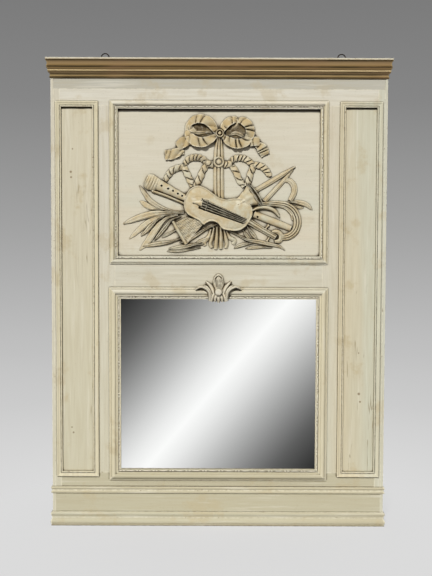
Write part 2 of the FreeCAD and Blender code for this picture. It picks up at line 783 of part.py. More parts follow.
def make_ring(name, place):
    """A ring with one straight side, which turns in the strap's eye."""
    wire, radius = cell("ring_wire_radius"), cell("ring_radius")
    y = BACK + EYE_RADIUS
    middle = RING_PIVOT + cell("ring_bar_drop")
    hoop = doc.addObject("Part::Torus", "Hoop")
    bind(hoop, "Radius1", radius)
    bind(hoop, "Radius2", wire)
    stand(hoop, FreeCAD.Rotation(FreeCAD.Vector(1, 0, 0), 90), place, y, middle)
    reach = radius + wire
    below = block((place - reach, place + reach), (y - wire, y + wire),
                  (middle - reach, RING_PIVOT))
    chord = leg_of(radius, cell("ring_bar_drop"))
    bar = rod(wire, chord * 2, place - chord, y, RING_PIVOT, FreeCAD.Vector(1, 0, 0))
    knees = []
    for side in (-1, 1):
        knee = doc.addObject("Part::Sphere", "Knee")
        bind(knee, "Radius", wire)
        bind_place(knee, place + chord * side, y, RING_PIVOT)
        knees.append(knee)
    keep("hanger_ring_" + name, union(cut(hoop, below), bar, *knees))


def make_hangers():
    """Both hangers and the four screws that hold them."""
    screws = []
    for name, place in STRAPS:
        make_strap(name, place)
        make_ring(name, place)
        for height in screw_heights():
            head = rod(cell("screw_head_radius"), cell("screw_head_height"), place, STRAP_FACE,
                       height, FreeCAD.Vector(0, 1, 0))
            shank = screw_shank(cell("screw_radius"), place, height)
            screws.append(union(head, shank))
    group("hanger_screws", screws)


# --- the carving ---------------------------------------------------------

# The carved outlines are places on a front view of the trophy, (across, down)
# in the view's own units. The trophy spans from TRACED_LEFT to TRACED_RIGHT
# there, and TRACED_MIDDLE is the middle of the upper panel.
TRACED_MIDDLE = (219.15, 181.85)
TRACED_LEFT = 123.0
TRACED_RIGHT = 313.0
CARVING_SCALE = cell("trophy_span").value / (TRACED_RIGHT - TRACED_LEFT)

VIOLIN = ((184, 204), (187, 194), (192, 187), (199, 185), (207, 188), (214, 193), (224, 198),
          (236, 198), (246, 199), (252, 206), (250, 217), (245, 226), (236, 230), (226, 228.5),
          (219, 225), (211, 220.5), (203, 221.5), (194, 216), (186, 214))
STRING_BAR = ((203, 198), (200, 206), (244, 223), (248, 217))
RECORDER_TUBE = ((157, 178), (171, 185), (185, 197), (184, 203), (168, 196), (153, 190))
RECORDER_HEAD = ((159, 178), (153, 174), (147, 177), (144, 184), (146, 189.5), (153, 191))
NECK = ((249, 221), (276, 237))
SCROLL = ((273, 233), (279, 232), (280, 238), (276, 240))
FLUTE = ((255, 214), (291, 226))
HORN = ((262, 204), (276, 203), (288, 205), (295, 211), (298, 220), (296, 229), (289, 236),
        (279, 238))
CROOK = ((253, 209), (260, 206), (269, 207), (276, 210), (280, 216))
TRUMPET = ((248, 183), (262, 203), (245, 206), (235, 200))
BOOK = ((174, 222), (186, 216), (204, 222), (196, 232), (187, 243))
BOOK_ROLL = ((173, 221), (186, 243))
BOW_LOOPS = (
    ((186, 125), (190, 119), (198, 115), (207, 118), (212, 126), (217, 134), (211, 141),
     (202, 147), (191, 144), (185, 135)),
    ((222, 133), (224, 124), (235, 117), (244, 117), (251, 122), (254, 130), (253, 139),
     (246, 147), (234, 147), (225, 141)))
BOW_TAILS = (((189, 140), (180, 143), (176, 151), (166, 155)),
             ((249, 141), (258, 142), (263, 149), (267, 155)))
KNOT = (220, 133)
STAFF = ((219, 134), (219, 198))
ROSETTE = (219, 161)
STAFF_TAIL = ((215, 224), (224, 229), (235, 241), (229, 246), (220, 249), (212, 248),
              (205, 242))
GARLANDS = (
    ((215, 163), (207, 164), (202, 158.5), (195, 157), (188, 159), (184, 164)),
    ((184, 165), (177, 168), (170, 170), (168, 177), (165, 180)),
    ((185, 167), (188, 174), (190, 181), (193, 185)),
    ((207, 165), (203, 170), (200, 176), (194, 185)),
    ((223, 163), (230, 161), (237, 157.5), (245, 158), (251, 162)),
    ((251, 162), (258, 164), (265, 167), (270, 172), (272, 177)),
    ((231, 164), (236, 170), (239, 178), (243, 184), (246, 185)),
    ((253, 165), (250, 172), (249, 178), (247, 184)))
TRIANGLE_BARS = (((294, 167), (256, 189)), ((293, 168), (265, 199)))
TRIANGLE_ARCH = ((288, 179), (293, 183), (294, 191), (290, 199))
# each leaf: its stalk, the middle of its spine, its tip and its width
LEAVES = (
    ((180, 211), (152, 202), (139, 184.5), 7),
    ((172, 211), (152, 206), (139, 200), 5.5),
    ((182, 213), (148, 214), (123, 223), 6.5),
    ((180, 214), (150, 220), (129, 238.5), 7),
    ((176, 214), (150, 222), (140, 235), 5),
    ((176, 215), (155, 229), (139, 250), 9),
    ((178, 232), (160, 240), (143, 246), 6.5),
    ((204, 244), (186, 246), (166, 251), 4.5),
    ((216, 225), (197, 236), (178, 243), 4.5),
    ((288, 201), (301, 202), (313, 209), 4),
    ((228, 231), (256, 242), (285, 249), 5.5),
    ((252, 240), (243, 243), (234, 247), 3.5),
    ((248, 225), (251, 232), (257, 238), 7))

# How wide the top of a raised form is, as a share of its foot.
FLAT = 0.9
BROAD = 0.8
ROUND = 0.65
RIDGED = 0.4
# How high the lower and the higher forms of a piece stand, as shares of its relief.
LOWER = 0.8
HIGHER = 1.4
# The opening of a ribbon loop, as a share of the loop.
LOOP_OPENING = 0.5
# A cutter is taller than any relief, and a smaller chip than this breaks off.
CUTTER_HEIGHT = 100.0
SMALLEST_CHIP = 150.0


def carved_point(across, down):
    """A place on the face of the upper panel."""
    x = across - TRACED_MIDDLE[0]
    z = TRACED_MIDDLE[1] - down
    return FreeCAD.Vector(x, 0, z) * CARVING_SCALE


def closed_wire(points, smooth):
    """A closed line through the points, curved or straight."""
    if smooth:
        curve = Part.BSplineCurve()
        curve.interpolate(Points=points, PeriodicFlag=True)
        return Part.Wire([curve.toShape()])
    return Part.makePolygon(points + points[:1])


def drawn_in(points, share):
    """The outline drawn in towards its middle."""
    middle = sum(points, FreeCAD.Vector()) / len(points)
    return [middle + (point - middle) * share for point in points]


def strip_wire(line, width):
    """The outline of a strip of even width that follows a line of points."""
    sides = ([], [])
    for index, point in enumerate(line):
        before, after = line[max(index - 1, 0)], line[min(index + 1, len(line) - 1)]
        along = (after - before).normalize()
        across = FreeCAD.Vector(-along.z, 0, along.x) * (width / 2)
        sides[0].append(point + across)
        sides[1].append(point - across)
    edges = []
    for side in sides:
        curve = Part.BSplineCurve()
        curve.interpolate(side)
        edges.append(curve.toShape())
    edges.append(Part.makeLine(sides[0][0], sides[1][0]))
    edges.append(Part.makeLine(sides[0][-1], sides[1][-1]))
    return Part.Wire(Part.__sortEdges__(edges))


def leaf_wire(stalk, middle, tip, width):
    """A leaf: two arcs that meet at both ends, either side of its spine."""
    along = (tip - stalk).normalize()
    across = FreeCAD.Vector(-along.z, 0, along.x) * (width / 2)
    edges = [Part.Arc(stalk, middle + across, tip).toShape(),
             Part.Arc(tip, middle - across, stalk).toShape()]
    return Part.Wire(edges)


def hump(low, high, relief):
    """A raised form between its outline on the panel and its narrower top."""
    top = high.copy()
    top.translate(FreeCAD.Vector(0, -relief, 0))
    return Part.makeLoft([low, top], True, True)


def outlined(points, relief, share, smooth=False):
    """A raised form with a drawn outline, and the ground it stands on."""
    corners = [carved_point(*point) for point in points]
    low = closed_wire(corners, smooth)
    return hump(low, closed_wire(drawn_in(corners, share), smooth), relief), low


def stripped(points, width, relief, share=ROUND):
    """A raised strip along a line, and the ground it stands on."""
    line = [carved_point(*point) for point in points]
    low = strip_wire(line, width)
    return hump(low, strip_wire(line, width * share), relief), low


def leafy(stalk, middle, tip, width, relief):
    """A raised leaf, and the ground it stands on."""
    spine = [carved_point(*point) for point in (stalk, middle, tip)]
    wide = width * CARVING_SCALE
    low = leaf_wire(*spine, wide)
    return hump(low, leaf_wire(*spine, wide * RIDGED), relief), low


def boss(place, radius, relief):
    """A round boss, and the ground it stands on."""
    middle = carved_point(*place)
    low, high = [Part.Wire([Part.Circle(middle, DEEP, size).toShape()])
                 for size in (radius, radius * ROUND)]
    return hump(low, high, relief), low


def ribbon_loop(points, relief):
    """A loop of ribbon with its opening, and the ground it stands on."""
    corners = [carved_point(*point) for point in points]
    low = closed_wire(corners, True)
    solid = hump(low, closed_wire(drawn_in(corners, BROAD), True), relief)
    opening = closed_wire(drawn_in(corners, LOOP_OPENING), True)
    return solid.cut(cutter(opening)), low


def cutter(wire):
    """What stands over an outline, tall enough to cut through any relief."""
    face = Part.Face(wire)
    return face.extrude(FreeCAD.Vector(0, -CUTTER_HEIGHT, 0))


def reliefs():
    """How far each carved piece stands off the panel."""
    names = ("violin", "string_bar", "recorder", "ribbon", "staff", "garland", "flute", "neck",
             "horn", "trumpet", "book", "triangle", "laurel")
    return {name: cell(name + "_relief").value for name in names}


def widths():
    """How wide each carved strip is."""
    names = ("neck", "flute", "horn", "crook", "bow_tail", "book_roll", "staff", "garland",
             "triangle_bar", "arch")
    return {name: cell(name + "_width").value for name in names}


def carved_forms():
    """Each carved piece and its forms, from the foremost piece to the last."""
    relief, wide = reliefs(), widths()
    knot, rosette = cell("knot_radius").value, cell("rosette_radius").value
    loops = [ribbon_loop(loop, relief["ribbon"]) for loop in BOW_LOOPS]
    tails = [stripped(tail, wide["bow_tail"], relief["ribbon"] * LOWER, BROAD)
             for tail in BOW_TAILS]
    bars = [stripped(line, wide["triangle_bar"], relief["triangle"], BROAD)
            for line in TRIANGLE_BARS]
    return (
        ("trophy_violin", [
            outlined(VIOLIN, relief["violin"], FLAT, True),
            outlined(STRING_BAR, relief["violin"] + relief["string_bar"], BROAD)]),
        ("trophy_recorder", [
            outlined(RECORDER_TUBE, relief["recorder"] * LOWER, ROUND),
            outlined(RECORDER_HEAD, relief["recorder"], BROAD)]),
        ("trophy_violin_neck", [
            stripped(NECK, wide["neck"], relief["neck"]),
            outlined(SCROLL, relief["neck"], BROAD)]),
        ("trophy_flute", [stripped(FLUTE, wide["flute"], relief["flute"])]),
        ("trophy_trumpet", [outlined(TRUMPET, relief["trumpet"], BROAD)]),
        ("trophy_curved_horn", [
            stripped(HORN, wide["horn"], relief["horn"]),
            stripped(CROOK, wide["crook"], relief["horn"] * LOWER)]),
        ("trophy_bow_ribbon", [boss(KNOT, knot, relief["ribbon"])] + loops + tails),
        ("trophy_music_book", [
            outlined(BOOK, relief["book"], FLAT),
            stripped(BOOK_ROLL, wide["book_roll"], relief["book"] * HIGHER)]),
        ("trophy_staff_ribbon", [
            boss(ROSETTE, rosette, relief["staff"] * HIGHER),
            stripped(STAFF, wide["staff"], relief["staff"], BROAD),
            outlined(STAFF_TAIL, relief["staff"], BROAD)]),
        ("trophy_garland", [
            stripped(swag, wide["garland"], relief["garland"]) for swag in GARLANDS]),
        ("trophy_triangle", bars + [
            stripped(TRIANGLE_ARCH, wide["arch"], relief["triangle"])]),
        ("trophy_laurel_leaves", [leafy(*leaf, relief["laurel"]) for leaf in LEAVES]),
    )


def left_over(solid, ground):
    """What a form keeps beside the ones that stand in front of it."""
    covers = [cover for cover in ground if cover.BoundBox.intersect(solid.BoundBox)]
    return solid.cut(covers) if covers else solid


def trimmed(shape, middle):
    """The carving inside the moulding and its beads, by a small gap."""
    inset = cell("pearl_radius").value * 2 + cell("trophy_edge_gap").value
    half = TROPHY_SIGHT.value - inset
    low = TROPHY_LOW.value + inset - middle.value
    high = TROPHY_HIGH.value - inset - middle.value
    field = Part.makeBox(half * 2, CUTTER_HEIGHT, high - low,
                         FreeCAD.Vector(-half, -CUTTER_HEIGHT, low))
    return shape if field.BoundBox.isInside(shape.BoundBox) else shape.common(field)


def make_trophy():
    """The carved trophy: each piece keeps what those in front of it leave."""
    middle = (TROPHY_BASE + UPPER_EDGE) / 2
    ground = []
    for label, forms in carved_forms():
        solids = [left_over(solid, ground) for solid, _ in forms]
        shape = solids[0].multiFuse(solids[1:]) if len(solids) > 1 else solids[0]
        shape = trimmed(shape, middle)
        parts = [solid for solid in shape.Solids if solid.Volume > SMALLEST_CHIP]
        feature = doc.addObject("Part::Feature", "Carving")
        feature.Shape = parts[0] if len(parts) == 1 else Part.makeCompound(parts)
        bind_place(feature, 0, FRONT + cell("trophy_recess"), middle)
        keep(label, feature)
        ground += [cutter(low) for _, low in forms]


# One half of the ornament's outline from its foot up, as shares of its half
# width and its height.
ORNAMENT_HALF = ((0.2, 0.05), (0.36, 0.16), (0.34, 0.27), (0.62, 0.27), (0.93, 0.33), (1.0, 0.43),
                 (0.84, 0.53), (0.58, 0.5), (0.5, 0.54), (0.62, 0.66), (0.6, 0.74), (0.42, 0.72),
                 (0.3, 0.68), (0.26, 0.8), (0.16, 0.93))
ORNAMENT_BALL_RISE = 0.36


def make_ornament():
    """The carved leaf over the mirror, rebated to fit over its moulding."""
    half, high = cell("ornament_width").value / 2, cell("ornament_height").value
    relief, radius = cell("ornament_relief").value, cell("ornament_ball_radius").value
    right = [FreeCAD.Vector(half * x, 0, high * z) for x, z in ORNAMENT_HALF]
    left = [FreeCAD.Vector(-point.x, 0, point.z) for point in reversed(right)]
    outline = [FreeCAD.Vector(0, 0, 0)] + right + [FreeCAD.Vector(0, 0, high)] + left
    leaf = hump(closed_wire(outline, False), closed_wire(drawn_in(outline, BROAD), False), relief)
    ball = Part.makeSphere(radius, FreeCAD.Vector(0, radius / 2 - relief, high * ORNAMENT_BALL_RISE))
    reach = cell("mirror_mould_width").value + cell("ornament_drop").value
    depth = cell("mirror_mould_height").value
    rebate = Part.makeBox(half * 2, depth, reach, FreeCAD.Vector(-half, -depth, 0))
    feature = doc.addObject("Part::Feature", "Ornament")
    feature.Shape = leaf.fuse(ball).cut(rebate)
    bind_place(feature, 0, FRONT, MIRROR_HIGH - cell("ornament_drop"))
    keep("mirror_ornament", feature)


# --- building and writing out --------------------------------------------

def check_everything():
    """Stop if any object failed or any piece is empty or broken."""
    for thing in doc.Objects:
        if "Invalid" in thing.State or "Error" in thing.State:
            raise RuntimeError(f"{thing.Label} failed: {thing.State}")
    for piece in PIECES:
        if piece.Shape.isNull() or not piece.Shape.isValid() or not piece.Shape.Solids:
            raise RuntimeError(f"{piece.Label} has no valid solid")


def write_parts():
    """One file for each piece, named after it."""
    os.makedirs("parts", exist_ok=True)
    for piece in PIECES:
        piece.Shape.exportStep(f"parts/{piece.Label}.step")
    print(len(PIECES), "pieces,", sum(len(piece.Shape.Solids) for piece in PIECES), "solids")


make_side_boards()
make_stiles()
make_muntins()
make_rails()
make_foot_and_frieze()
make_panels()
make_fastening()
make_mirror()
make_side_mouldings()
make_centre_mouldings()
make_beads()
make_girdles()
make_hangers()
make_trophy()
make_ornament()
doc.recompute()
check_everything()
write_parts()
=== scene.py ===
"""The looks of the trumeau mirror: aged cream paint, carved ornament, mirror glass, iron rings.

Lengths are in metres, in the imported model's own frame. Colours are written as 0 to 255
display values. A place on the carving is (across, down) in the photograph's pixels.
"""
import math

import bmesh
import bpy
import numpy as np
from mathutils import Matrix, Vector, noise
from mathutils.geometry import delaunay_2d_cdt


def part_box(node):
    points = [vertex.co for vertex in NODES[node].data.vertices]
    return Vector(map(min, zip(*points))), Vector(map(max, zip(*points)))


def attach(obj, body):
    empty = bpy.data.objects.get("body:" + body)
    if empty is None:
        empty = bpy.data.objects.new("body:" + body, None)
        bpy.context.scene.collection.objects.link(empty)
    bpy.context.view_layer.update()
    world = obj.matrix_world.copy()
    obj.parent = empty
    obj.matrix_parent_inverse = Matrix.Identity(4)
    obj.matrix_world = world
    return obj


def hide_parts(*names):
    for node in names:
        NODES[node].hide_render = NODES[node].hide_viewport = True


# Blender's noise starts from the clock unless it is given a seed
NOISE_SEED = 7
noise.seed_set(NOISE_SEED)
bpy.context.scene.view_settings.view_transform = "Standard"
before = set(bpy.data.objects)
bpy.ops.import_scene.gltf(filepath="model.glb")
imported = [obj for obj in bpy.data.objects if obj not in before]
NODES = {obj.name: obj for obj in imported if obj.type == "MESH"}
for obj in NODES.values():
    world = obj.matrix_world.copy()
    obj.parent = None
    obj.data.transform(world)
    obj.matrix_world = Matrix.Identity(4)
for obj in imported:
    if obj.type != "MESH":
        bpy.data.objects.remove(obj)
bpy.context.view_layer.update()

# ---------------------------------------------------------------- the photograph's camera
IMAGE_WIDTH, IMAGE_HEIGHT = 432, 576
FOCAL_PIXELS = 1068.0
SENSOR = 36.0
CAMERA_DISTANCE = 4.0
CAMERA_PITCH = math.radians(3.515)
CAMERA_ROLL = math.radians(-0.2)
AIM_HEIGHT = 0.8905
SHIFT_PIXELS = (-2.79, 3.5)


def place_camera():
    """The camera stands in front, a little above the middle, and looks slightly down."""
    data = bpy.data.cameras.new("photo_camera")
    data.sensor_width = SENSOR
    data.lens = SENSOR * FOCAL_PIXELS / IMAGE_HEIGHT
    data.shift_x = SHIFT_PIXELS[0] / IMAGE_HEIGHT
    data.shift_y = SHIFT_PIXELS[1] / IMAGE_HEIGHT
    camera = bpy.data.objects.new("photo_camera", data)
    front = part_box("stile_left")[0].y
    away = CAMERA_DISTANCE * math.cos(CAMERA_PITCH)
    rise = CAMERA_DISTANCE * math.sin(CAMERA_PITCH)
    camera.location = (0, front - away, AIM_HEIGHT + rise)
    camera.rotation_mode = "XYZ"
    camera.rotation_euler = (math.pi / 2 - CAMERA_PITCH, CAMERA_ROLL, 0)
    bpy.context.scene.collection.objects.link(camera)
    bpy.context.scene.camera = camera


# ---------------------------------------------------------------- shader building
def linear(red, green, blue):
    """A colour written as display values, for a shader."""
    def channel(value):
        share = value / 255
        return share / 12.92 if share <= 0.04045 else ((share + 0.055) / 1.055) ** 2.4
    return (channel(red), channel(green), channel(blue), 1.0)


class Finish:
    """A material whose nodes are added one call at a time."""

    def __init__(self, name, roughness=0.6, metallic=0.0, specular=0.35):
        self.material = bpy.data.materials.new(name)
        self.material.use_nodes = True
        self.tree = self.material.node_tree
        self.tree.nodes.clear()
        self.shader = self.tree.nodes.new("ShaderNodeBsdfPrincipled")
        self.shader.inputs["Roughness"].default_value = roughness
        self.shader.inputs["Metallic"].default_value = metallic
        self.shader.inputs["Specular IOR Level"].default_value = specular
        output = self.tree.nodes.new("ShaderNodeOutputMaterial")
        self.tree.links.new(self.shader.outputs["BSDF"], output.inputs["Surface"])
        self.place = self.add("ShaderNodeTexCoord", "Object")

    def add(self, kind, output=0, inputs=None, **settings):
        """Add a node, set or link its inputs, and return one of its outputs."""
        node = self.tree.nodes.new(kind)
        for key, value in settings.items():
            setattr(node, key, value)
        for key, value in (inputs or {}).items():
            if isinstance(value, bpy.types.NodeSocket):
                self.tree.links.new(value, node.inputs[key])
            else:
                node.inputs[key].default_value = value
        return node.outputs[output]

    def link(self, value, name):
        self.tree.links.new(value, self.shader.inputs[name])

    def noise(self, scale, detail=3.0, stretch=(1, 1, 1), offset=(0, 0, 0), rough=0.55):
        """Noise with so many cells per metre, more or fewer along each axis."""
        place = self.add("ShaderNodeMapping", inputs={
            "Vector": self.place, "Scale": stretch, "Location": offset})
        return self.add("ShaderNodeTexNoise", "Fac", {
            "Vector": place, "Scale": scale, "Detail": detail, "Roughness": rough})

    def ramp(self, value, low, high, to_low=0.0, to_high=1.0):
        """A smooth step from to_low, where value is low, to to_high, where it is high."""
        return self.add("ShaderNodeMapRange", inputs={
            "Value": value, "From Min": low, "From Max": high,
            "To Min": to_low, "To Max": to_high}, interpolation_type="SMOOTHSTEP")

    def math(self, operation, first, second=0.0):
        return self.add("ShaderNodeMath", inputs={0: first, 1: second}, operation=operation)

    def mix(self, share, first, second, blend="MIX"):
        """The colour first, with a share of the colour second laid over it."""
        return self.add("ShaderNodeMix", 2, {0: share, 6: first, 7: second},
                        data_type="RGBA", blend_type=blend)

    def axis(self, source, name):
        return self.add("ShaderNodeSeparateXYZ", name, {"Vector": source})

    def crevice(self, reach, full=0.55, none=0.92):
        """How deep a point lies in a corner: 1 right in it, 0 on an open face."""
        open_share = self.add("ShaderNodeAmbientOcclusion", "AO", {"Distance": reach},
                              samples=12)
        return self.ramp(open_share, none, full)

    def arris(self, reach, full=0.62, none=0.9):
        """How near a point lies to an outer edge: 1 on it, 0 on an open face."""
        solid_share = self.add("ShaderNodeAmbientOcclusion", "AO", {"Distance": reach},
                               samples=12, inside=True)
        return self.ramp(solid_share, none, full)

    def relief(self, height, strength=0.3, depth=0.001, round_edge=0.0008):
        """Small relief over the surface, whose outer edges are slightly rounded."""
        normal = self.add("ShaderNodeBevel", inputs={"Radius": round_edge}, samples=4)
        bumped = self.add("ShaderNodeBump", inputs={
            "Height": height, "Strength": strength, "Distance": depth, "Normal": normal})
        self.link(bumped, "Normal")


UPRIGHT = (1, 1, 0.05)
LEVEL = (0.05, 1, 1)
EVERY_WAY = (1, 1, 1)
# named marks on the side panels: (x, z, radius), places of knots and filled holes
KNOTS = ((-0.552, 1.335, 0.006), (-0.551, 1.315, 0.005), (-0.545, 1.42, 0.004),
         (-0.546, 0.355, 0.005), (-0.552, 0.375, 0.004), (0.535, 0.475, 0.005),
         (0.53, 0.505, 0.007), (0.528, 0.66, 0.0035))


def aged_paint(name, grain, high, low, stain=0.35, grime_and_shade=0.9, wear_and_highlight=0.5, streaks=0.3,
               knots=False, glaze_and_shade=0.0, reach=0.014, top_shadow=None, foot=0.0):
    """Old cream paint over wood: stains, streaks along the grain, dirt and painted shade in the corners,
    painted highlight on worn edges.
    """
    finish = Finish(name, roughness=0.62)
    height = finish.axis(finish.place, "Z")
    # the colour goes from low at the bottom to high at the top, darker towards the bottom
    colour = finish.mix(finish.ramp(height, 0.1, 1.5), linear(*low), linear(*high))
    # broad warm and cool patches, where the paint has yellowed unevenly
    warm = finish.ramp(finish.noise(3.1, 4, grain), 0.5, 0.72, 0, 0.42)
    colour = finish.mix(warm, colour, linear(209, 192, 158), "MIX")
    cool = finish.ramp(finish.noise(4.3, 3, grain, (3, 1, 7)), 0.48, 0.68, 0, 0.6)
    colour = finish.mix(cool, colour, linear(198, 200, 182), "MIX")
    # stains with a clear edge, as damp leaves them
    blot = finish.noise(9, 5, EVERY_WAY, (11, 4, 2), 0.6)
    colour = finish.mix(finish.ramp(blot, 0.56, 0.66, 0, stain), colour,
                        linear(186, 168, 128))
    # brush marks and grain showing through
    streak = finish.noise(130, 4, grain)
    colour = finish.mix(finish.ramp(streak, 0.35, 0.7, 0, streaks), colour,
                        linear(180, 168, 138))
    pale = finish.noise(75, 3, grain, (5, 5, 5))
    colour = finish.mix(finish.ramp(pale, 0.55, 0.75, 0, streaks * 1.4), colour,
                        linear(226, 221, 205))
    # fly specks and small dirt
    speck = finish.noise(330, 2, EVERY_WAY, (2, 9, 4))
    colour = finish.mix(finish.ramp(speck, 0.68, 0.74, 0, 0.55), colour,
                        linear(120, 100, 64))
    if glaze_and_shade:
        # the carving was glazed brown, and the glaze stayed on its lower parts; the deep hollows are darkened
        # brown, which is glaze and painted shade
        glaze = finish.ramp(finish.noise(34, 3, EVERY_WAY, (6, 1, 9)), 0.34, 0.66, 0.1, 0.75)
        colour = finish.mix(finish.math("MULTIPLY", glaze, glaze_and_shade), colour, linear(188, 162, 112))
        hollow_shade = finish.math("MULTIPLY", finish.crevice(0.045, 0.34, 0.84), glaze_and_shade)
        colour = finish.mix(hollow_shade, colour, linear(112, 84, 42))
    # dirt and painted shade in corners, first a broad haze and then a dark line; the dark lines are mostly
    # painted shade
    haze_and_shade = finish.math("MULTIPLY", finish.crevice(0.022, 0.4, 0.85), grime_and_shade * 0.5)
    colour = finish.mix(haze_and_shade, colour, linear(152, 130, 86))
    line = finish.math("MULTIPLY", finish.crevice(reach, 0.47, 0.78), grime_and_shade)
    colour = finish.mix(line, colour, linear(34, 24, 8))
    fine = finish.math("MULTIPLY", finish.crevice(0.0055, 0.5, 0.8), grime_and_shade * 0.8)
    colour = finish.mix(fine, colour, linear(64, 50, 24))
    if foot:
        # near the floor, a painted shadow under the mouldings, dark along their corners
        foot_shade_share = finish.ramp(height, 0.28, 0.4, foot, 0)
        shade_under = finish.math("MULTIPLY", finish.crevice(0.034, 0.66, 0.83), foot_shade_share)
        colour = finish.mix(shade_under, colour, linear(56, 43, 18))
    if top_shadow:
        # a painted black shadow line right under the moulding at the top of a recess
        top, depth = top_shadow
        dark = finish.math("ADD", height, finish.math("MULTIPLY", finish.noise(28, 3), 0.003))
        colour = finish.mix(finish.ramp(dark, top - depth, top - depth * 0.6, 0, 0.94), colour,
                            linear(30, 22, 8))
    # edges made pale, which is rubbed paint and painted highlight, with a few chips down to the wood
    edge = finish.arris(0.004)
    worn_and_highlit = finish.math("MULTIPLY", edge, finish.ramp(finish.noise(60, 3), 0.4, 0.6, 0.25, 1))
    colour = finish.mix(finish.math("MULTIPLY", worn_and_highlit, wear_and_highlight), colour, linear(232, 226, 204))
    chip = finish.math("MULTIPLY", edge, finish.ramp(finish.noise(95, 3, EVERY_WAY, (8, 2, 6)),
                                                     0.66, 0.7))
    colour = finish.mix(finish.math("MULTIPLY", chip, 0.7), colour, linear(122, 96, 60))
    if knots:
        split = finish.noise(46, 2, (1, 1, 0.045), (1, 2, 8))
        crack = finish.math("ABSOLUTE", finish.math("SUBTRACT", split, 0.5))
        held = finish.ramp(finish.noise(5, 3, (1, 1, 0.4), (7, 7, 1)), 0.52, 0.6)
        crack = finish.math("MULTIPLY", finish.ramp(crack, 0.012, 0.004, 0, 0.6), held)
        colour = finish.mix(crack, colour, linear(128, 108, 72))
        for across, up, radius in KNOTS:
            away = finish.add("ShaderNodeVectorMath", "Value", {
                0: finish.place, 1: (across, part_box("side_panel_left")[0].y, up)},
                operation="DISTANCE")
            mark = finish.ramp(away, radius, radius * 0.35, 0, 0.75)
            colour = finish.mix(mark, colour, linear(112, 88, 52))
    # the back was never painted
    facing = finish.axis(finish.add("ShaderNodeNewGeometry", "Normal"), "Y")
    wood = finish.mix(finish.ramp(finish.noise(70, 4, grain, (1, 7, 3)), 0.3, 0.7),
                      linear(136, 106, 72), linear(176, 146, 106))
    colour = finish.mix(finish.ramp(facing, 0.6, 0.8), colour, wood)
    finish.link(colour, "Base Color")
    rough = finish.ramp(finish.noise(24, 4), 0.3, 0.7, 0.5, 0.78)
    finish.link(rough, "Roughness")
    tooth = finish.math("ADD", finish.math("MULTIPLY", streak, 0.8),
                        finish.math("MULTIPLY", finish.noise(210, 3), 0.5))
    tooth = finish.math("ADD", tooth, finish.math("MULTIPLY", blot, 0.8))
    finish.relief(tooth, 0.3, 0.0009)
    return finish.material


# tones of the old gilding, whose 'dark' is painted shade in the hollows and 'pale' is rubbed gilding with
# painted highlight on the fillets, and which lies how many millimetres below the cornice's top
GILDING_TONES_AND_SHADE = {"pale": (222, 198, 150), "gilt": (144, 120, 84), "bronze": (126, 103, 64),
           "dark": (54, 41, 18)}
GILDING_AND_SHADE_BANDS = (
    (0, "pale"), (2.5, "dark"), (5.5, "dark"), (10, "gilt"), (18, "gilt"), (23, "bronze"),
    (27.5, "dark"), (30, "dark"), (33, "bronze"), (38, "bronze"), (40, "pale"), (43, "pale"),
    (44.5, "dark"), (47, "dark"), (49, "gilt"), (52, "gilt"), (54, "dark"), (57, "dark"),
    (59, "bronze"), (62, "bronze"), (64.5, "dark"), (70, "dark"))


def gilding_with_shade(name):
    """Brown-gold paint along the cornice, pale on the fillets, which is rubbed gilding and painted highlight,
    and dark in the hollows, which is painted shade.
    """
    finish = Finish(name, roughness=0.45, specular=0.45)
    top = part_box("cornice_front")[1].z
    last = GILDING_AND_SHADE_BANDS[-1][0]
    down = finish.math("MULTIPLY", finish.math("SUBTRACT", top, finish.axis(finish.place, "Z")),
                       1000 / last)
    streak = finish.noise(110, 5, (0.03, 1, 1))
    ragged = finish.math("MULTIPLY", finish.noise(90, 3, (0.1, 1, 1)), 0.03)
    ramp = finish.tree.nodes.new("ShaderNodeValToRGB")
    finish.tree.links.new(finish.math("ADD", down, ragged), ramp.inputs["Fac"])
    points = ramp.color_ramp.elements
    points[1].position = 1.0
    for place, _ in GILDING_AND_SHADE_BANDS[1:-1]:
        points.new(place / last)
    for point, (_, tone) in zip(points, GILDING_AND_SHADE_BANDS):
        point.color = linear(*GILDING_TONES_AND_SHADE[tone])
    colour = finish.mix(finish.ramp(streak, 0.35, 0.7, 0, 0.24), ramp.outputs["Color"],
                        linear(134, 108, 70))
    patch = finish.noise(11, 4, (0.5, 1, 1), (4, 4, 1))
    colour = finish.mix(finish.ramp(patch, 0.45, 0.7, 0, 0.3), colour, linear(138, 106, 76))
    rub = finish.math("MULTIPLY", finish.arris(0.003, 0.6, 0.88),
                      finish.ramp(finish.noise(30, 3, (0.2, 1, 1)), 0.3, 0.6, 0.35, 1))
    colour = finish.mix(finish.math("MULTIPLY", rub, 0.25), colour, linear(204, 182, 132))
    # dirt and painted shade in the small hollows of the cornice
    dirt_and_shade = finish.math("MULTIPLY", finish.crevice(0.006, 0.5, 0.8), 0.7)
    colour = finish.mix(dirt_and_shade, colour, linear(38, 28, 12))
    facing = finish.axis(finish.add("ShaderNodeNewGeometry", "Normal"), "Y")
    colour = finish.mix(finish.ramp(facing, 0.6, 0.8), colour, linear(118, 90, 58))
    finish.link(colour, "Base Color")
    finish.link(finish.ramp(streak, 0.3, 0.7, 0.38, 0.6), "Roughness")
    finish.relief(finish.math("ADD", streak, finish.math("MULTIPLY", finish.noise(240, 3), 0.4)),
                  0.3, 0.0008)
    return finish.material


